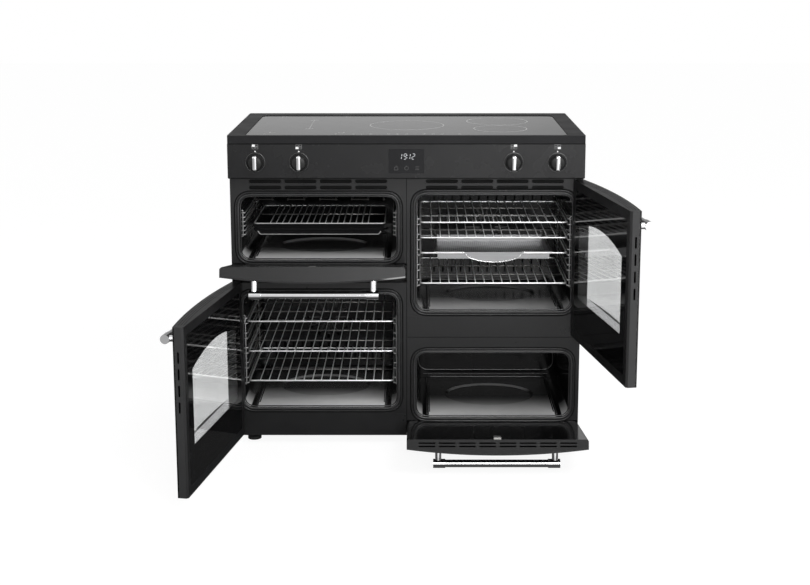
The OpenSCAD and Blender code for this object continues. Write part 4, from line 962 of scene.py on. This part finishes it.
def on_fascia(u, v, h):
    return Vector((u, FASCIA_Y - 0.00005 - h, v))


def plate_rect(mesh, lift, u, v, w, h, thick=PRINT_T):
    slab(mesh, [(u - w / 2, v - h / 2), (u + w / 2, v - h / 2), (u + w / 2, v + h / 2),
                (u - w / 2, v + h / 2)], lift, thick)


def hollow_rect(mesh, lift, u, v, w, h, line):
    plate_rect(mesh, lift, u, v + h / 2 - line / 2, w, line)
    plate_rect(mesh, lift, u, v - h / 2 + line / 2, w, line)
    plate_rect(mesh, lift, u - w / 2 + line / 2, v, line, h - 2 * line)
    plate_rect(mesh, lift, u + w / 2 - line / 2, v, line, h - 2 * line)


# Above each knob: the four ovens as little squares with that knob's own one filled, and a dot
SIGN_Z, SIGN_STEP_X, SIGN_STEP_Z = KNOB_Z + 0.0405, 0.0092, 0.0068
BEZEL_R = 0.0268
filled, hollow, bezels = bmesh.new(), bmesh.new(), bmesh.new()
for x, own in KNOBS.values():
    for column in (0, 1):
        for row in (0, 1):
            u, v = x + (column - 0.5) * SIGN_STEP_X, SIGN_Z + row * SIGN_STEP_Z
            if (column, row) == own:
                plate_rect(filled, on_fascia, u, v, 0.0082, 0.0060)
            else:
                hollow_rect(hollow, on_fascia, u, v, 0.0082, 0.0058, 0.0009)
    band(filled, on_fascia, (x, KNOB_Z + 0.0305), 0.0, 0.0019, PRINT_T, steps=20)
    # A thin turned ring round the skirt
    tube(bezels, [(x + BEZEL_R * math.cos(a), FASCIA_Y - 0.0004, KNOB_Z + BEZEL_R * math.sin(a))
                  for a in turn(72)], 0.0011, sides=10, closed=True)
piece("fascia_signs_white", filled, "cabinet", PALE_PRINT, smooth=False)
piece("fascia_signs_grey", hollow, "cabinet", PRINT, smooth=False)
piece("knob_bezels", bezels, "cabinet", BEZEL)

# Dark strips in the gaps above and below the fascia, as painted shade
mesh = bmesh.new()
for z in (0.8918, 0.7948):
    tube(mesh, [(-HALF_WIDTH, FASCIA_Y + 0.0004, z), (HALF_WIDTH, FASCIA_Y + 0.0004, z)], 0.0014, sides=10)
piece("fascia_gap_shade", mesh, "cabinet", SHADOW)

# Clock: four digits of slanting strokes and a colon, behind the panel's face
SEGMENTS = {
    "a": (0, 1, 1, 1), "b": (1, 1, 1, 0.5), "c": (1, 0.5, 1, 0), "d": (0, 0, 1, 0),
    "e": (0, 0, 0, 0.5), "f": (0, 0.5, 0, 1), "g": (0, 0.5, 1, 0.5),
}
SHAPES = {"1": "bc", "9": "abcdfg", "2": "abged"}
CLOCK = (("1", -0.0216), ("9", -0.0086), ("1", 0.0020), ("2", 0.0146))
DIGIT_W, DIGIT_H, STROKE, SLANT = 0.0066, 0.0155, 0.0016, 0.14
CLOCK_X, CLOCK_Z = 0.004, 0.8565
digits = bmesh.new()
for mark, place in CLOCK:
    for name in SHAPES[mark]:
        u0, v0, u1, v1 = SEGMENTS[name]
        a = Vector((u0 * DIGIT_W, v0 * DIGIT_H))
        b = Vector((u1 * DIGIT_W, v1 * DIGIT_H))
        along = (b - a).normalized()
        across = Vector((-along.y, along.x)) * STROKE / 2
        a, b = a + along * 0.0007, b - along * 0.0007
        ring = [a, a + along * STROKE / 2 - across, b - along * STROKE / 2 - across, b,
                b - along * STROKE / 2 + across, a + along * STROKE / 2 + across]
        slab(digits, [(CLOCK_X + place - DIGIT_W / 2 + p.x + SLANT * p.y, CLOCK_Z - DIGIT_H / 2 + p.y)
                      for p in ring], on_fascia, 0.0001)
for v in (-0.0035, 0.0035):
    band(digits, on_fascia, (CLOCK_X - 0.0012 + SLANT * v, CLOCK_Z + v), 0.0, 0.0008, 0.0001, steps=14)
piece("clock_digits", digits, "cabinet", DIGITS, smooth=False)

# Three touch marks under the clock: a pot, a dial and bars
touch = bmesh.new()
POT_X, DIAL_X, BARS_X, TOUCH_Z = -0.0284, 0.0004, 0.0300, 0.8235
hollow_rect(touch, on_fascia, POT_X, TOUCH_Z - 0.0008, 0.0105, 0.0095, 0.0012)
plate_rect(touch, on_fascia, POT_X, TOUCH_Z + 0.0058, 0.0060, 0.0011)
band(touch, on_fascia, (DIAL_X, TOUCH_Z), 0.0044, 0.0057, PRINT_T, steps=36)
plate_rect(touch, on_fascia, DIAL_X, TOUCH_Z + 0.0065, 0.0012, 0.0024)
for k, w in enumerate((0.0110, 0.0085, 0.0110)):
    plate_rect(touch, on_fascia, BARS_X, TOUCH_Z - 0.0040 + k * 0.0040, w, 0.0013)
piece("touch_marks", touch, "cabinet", FAINT_PRINT, smooth=False)

# --------------------------------------------
# Prints on the hob glass

HOB_LOW, HOB_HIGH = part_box("hob_glass")
GLASS_TOP = HOB_HIGH.z
INK = 0.00008
LINE = 0.0024


def on_glass(u, v, h):
    return Vector((u, v, GLASS_TOP + 0.00004 + h))


def ink_rect(mesh, u, v, w, h):
    plate_rect(mesh, on_glass, u, v, w, h, INK)


def ink_ring(mesh, u, v, inner, outer, steps):
    band(mesh, on_glass, (u, v), inner, outer, INK, steps)


# Dark strip round the glass, as painted shade in its joint
JOINT = 0.0006
mesh = bmesh.new()
tube(mesh, level_rect(HOB_LOW.x - JOINT, HOB_HIGH.x + JOINT, HOB_LOW.y - JOINT, HOB_HIGH.y + JOINT,
                      GLASS_TOP - 0.0004, 0.014, 8), 0.0012, sides=10, closed=True)
piece("hob_glass_joint_shade", mesh, "cabinet", SHADOW)

# Zones: rings, each (across, back, width over all), and a bridged pair at the left, with a cross
# in each zone and short corner marks
ZONES = ((0, -0.022, 0.220), (0.272, 0.074, 0.186), (0.272, -0.104, 0.156))
BRIDGE_X, BRIDGE_Y, BRIDGE_STEP = -0.283, -0.005, 0.100
CORNER_X, CORNER_Y, CORNER_LEN, CROSS = 0.105, 0.195, 0.016, 0.024
mesh = bmesh.new()
for x, y, width in ZONES:
    ink_ring(mesh, x, y, width / 2 - LINE, width / 2, 96)
for y in (BRIDGE_Y - BRIDGE_STEP, BRIDGE_Y + BRIDGE_STEP):
    ink_rect(mesh, BRIDGE_X, y, CROSS, LINE)
    ink_rect(mesh, BRIDGE_X, y, LINE, CROSS)
ink_rect(mesh, BRIDGE_X, BRIDGE_Y, LINE / 2, 2 * BRIDGE_STEP - CROSS)
for sx in (-1, 1):
    for sy in (-1, 1):
        u, v = BRIDGE_X + sx * CORNER_X, BRIDGE_Y + sy * CORNER_Y
        ink_rect(mesh, u - sx * CORNER_LEN / 2, v, CORNER_LEN, LINE)
        ink_rect(mesh, u, v - sy * CORNER_LEN / 2, LINE, CORNER_LEN)
piece("hob_prints", mesh, "cabinet", RING_PRINT, smooth=False)

# Touch marks in groups of three along the front: rings with a minus or a plus, and two lone rings
KEY_Y, KEY_X0, KEY_STEP = -0.226, -0.150, 0.025
mesh = bmesh.new()
for k in range(13):
    if k % 4 == 3:
        continue
    u = KEY_X0 + k * KEY_STEP
    ink_ring(mesh, u, KEY_Y, 0.0034, 0.0044, 24)
    ink_rect(mesh, u, KEY_Y, 0.0032, 0.0008)
    if k % 2:
        ink_rect(mesh, u, KEY_Y, 0.0008, 0.0032)
for u in (-0.400, -0.200):
    ink_ring(mesh, u, KEY_Y, 0.0026, 0.0036, 24)
piece("hob_touch_marks", mesh, "cabinet", RING_PRINT, smooth=False)

# --------------------------------------------
# Floor, world, lights and camera

mesh = bmesh.new()
bmesh.ops.create_grid(mesh, x_segments=1, y_segments=1, size=14)
data = bpy.data.meshes.new("floor")
mesh.to_mesh(data)
mesh.free()
floor = added("floor", data)


def rays(tree):
    """Rays that go straight to the background from the camera, and rays mirrored by gloss."""
    path = tree.nodes.new("ShaderNodeLightPath")
    straight = math_node(tree, "MAXIMUM", path.outputs["Is Camera Ray"], path.outputs["Is Transmission Ray"])
    return straight, path.outputs["Is Glossy Ray"]


def either(tree, first, second, factor):
    node = tree.nodes.new("ShaderNodeMixShader")
    tree.links.new(factor, node.inputs["Fac"])
    tree.links.new(first, node.inputs[1])
    tree.links.new(second, node.inputs[2])
    return node.outputs[0]


# Gloss sees the floor dim close to the cooker and behind it, and brighter well in front
paper = bpy.data.materials.new("paper_floor")
paper.use_nodes = True
tree = paper.node_tree
tree.nodes.clear()
straight, mirrored = rays(tree)
floor_x, floor_y, _ = axes(tree, coords(tree))
far = times(tree, between(tree, floor_y, -1.6, -0.8, 0.92, 0.06),
            between(tree, floor_x, -1.6, 1.6, 0.45, 1.6))
matt = tree.nodes.new("ShaderNodeBsdfDiffuse")
matt.inputs["Color"].default_value = (0.86, 0.86, 0.86, 1)
lit = tree.nodes.new("ShaderNodeEmission")
tree.links.new(math_node(tree, "ADD", times(tree, straight, 1.13), times(tree, mirrored, far)),
               lit.inputs["Strength"])
share = math_node(tree, "MINIMUM", math_node(tree, "ADD", times(tree, straight, 0.80), mirrored), 1.0)
out = tree.nodes.new("ShaderNodeOutputMaterial")
tree.links.new(either(tree, matt.outputs[0], lit.outputs[0], share), out.inputs["Surface"])
data.materials.append(paper)

# The world: white to the camera, even light on the object, and a studio's walls and ceiling to gloss
world = bpy.data.worlds.new("studio")
bpy.context.scene.world = world
world.use_nodes = True
tree = world.node_tree
tree.nodes.clear()
straight, mirrored = rays(tree)
place = tree.nodes.new("ShaderNodeTexCoord")
sky_x, sky_y, sky_z = axes(tree, place.outputs["Generated"])
behind = times(tree, between(tree, sky_z, 0.10, 0.19, 0.70, 0.28),
               between(tree, sky_x, 0.0, 0.14, 1.05, 0.78))
before = between(tree, sky_z, 0.0, 0.3, 0.85, 1.0)
around = mixture(tree, behind, before, between(tree, sky_y, -0.2, 0.2))
studio = mixture(tree, 0.9, around, between(tree, sky_z, 0.35, 0.7))
reflected = times(tree, studio, between(tree, sky_x, -0.7, 0.7, 0.8, 1.1))


def sky(strength):
    node = tree.nodes.new("ShaderNodeBackground")
    node.inputs["Color"].default_value = (1, 1, 1, 1)
    feed(tree, node.inputs["Strength"], strength)
    return node.outputs[0]


out = tree.nodes.new("ShaderNodeOutputWorld")
lighting = either(tree, sky(0.5), sky(reflected), mirrored)
tree.links.new(either(tree, lighting, sky(1.0), straight), out.inputs["Surface"])


def soft_lamp(name, place, aim, size, power):
    lamp = bpy.data.lights.new(name, "AREA")
    lamp.shape = "RECTANGLE"
    lamp.size, lamp.size_y = size
    lamp.energy = power
    thing = added(name, lamp)
    thing.location = place
    thing.rotation_euler = (Vector(aim) - Vector(place)).to_track_quat("-Z", "Y").to_euler()


soft_lamp("key", (1.6, -2.6, 3.2), (0, -0.2, 0.4), (1.8, 1.4), 62)
soft_lamp("fill", (-2.4, -3.0, 2.0), (0, -0.2, 0.5), (1.8, 1.8), 10)
soft_lamp("front", (1.0, -4.4, 1.5), (0, 0, 0.3), (2.4, 1.2), 85)

lens = bpy.data.cameras.new("camera")
lens.sensor_width = 36
lens.lens = 60.6
lens.shift_x = -0.0145
lens.shift_y = -0.1
camera = added("camera", lens)
camera.location = (0.029, -4.042, 1.411)
camera.rotation_euler = (math.radians(90 - 10.68), 0, 0)
bpy.context.scene.camera = camera
bpy.context.scene.view_settings.view_transform = "Standard"
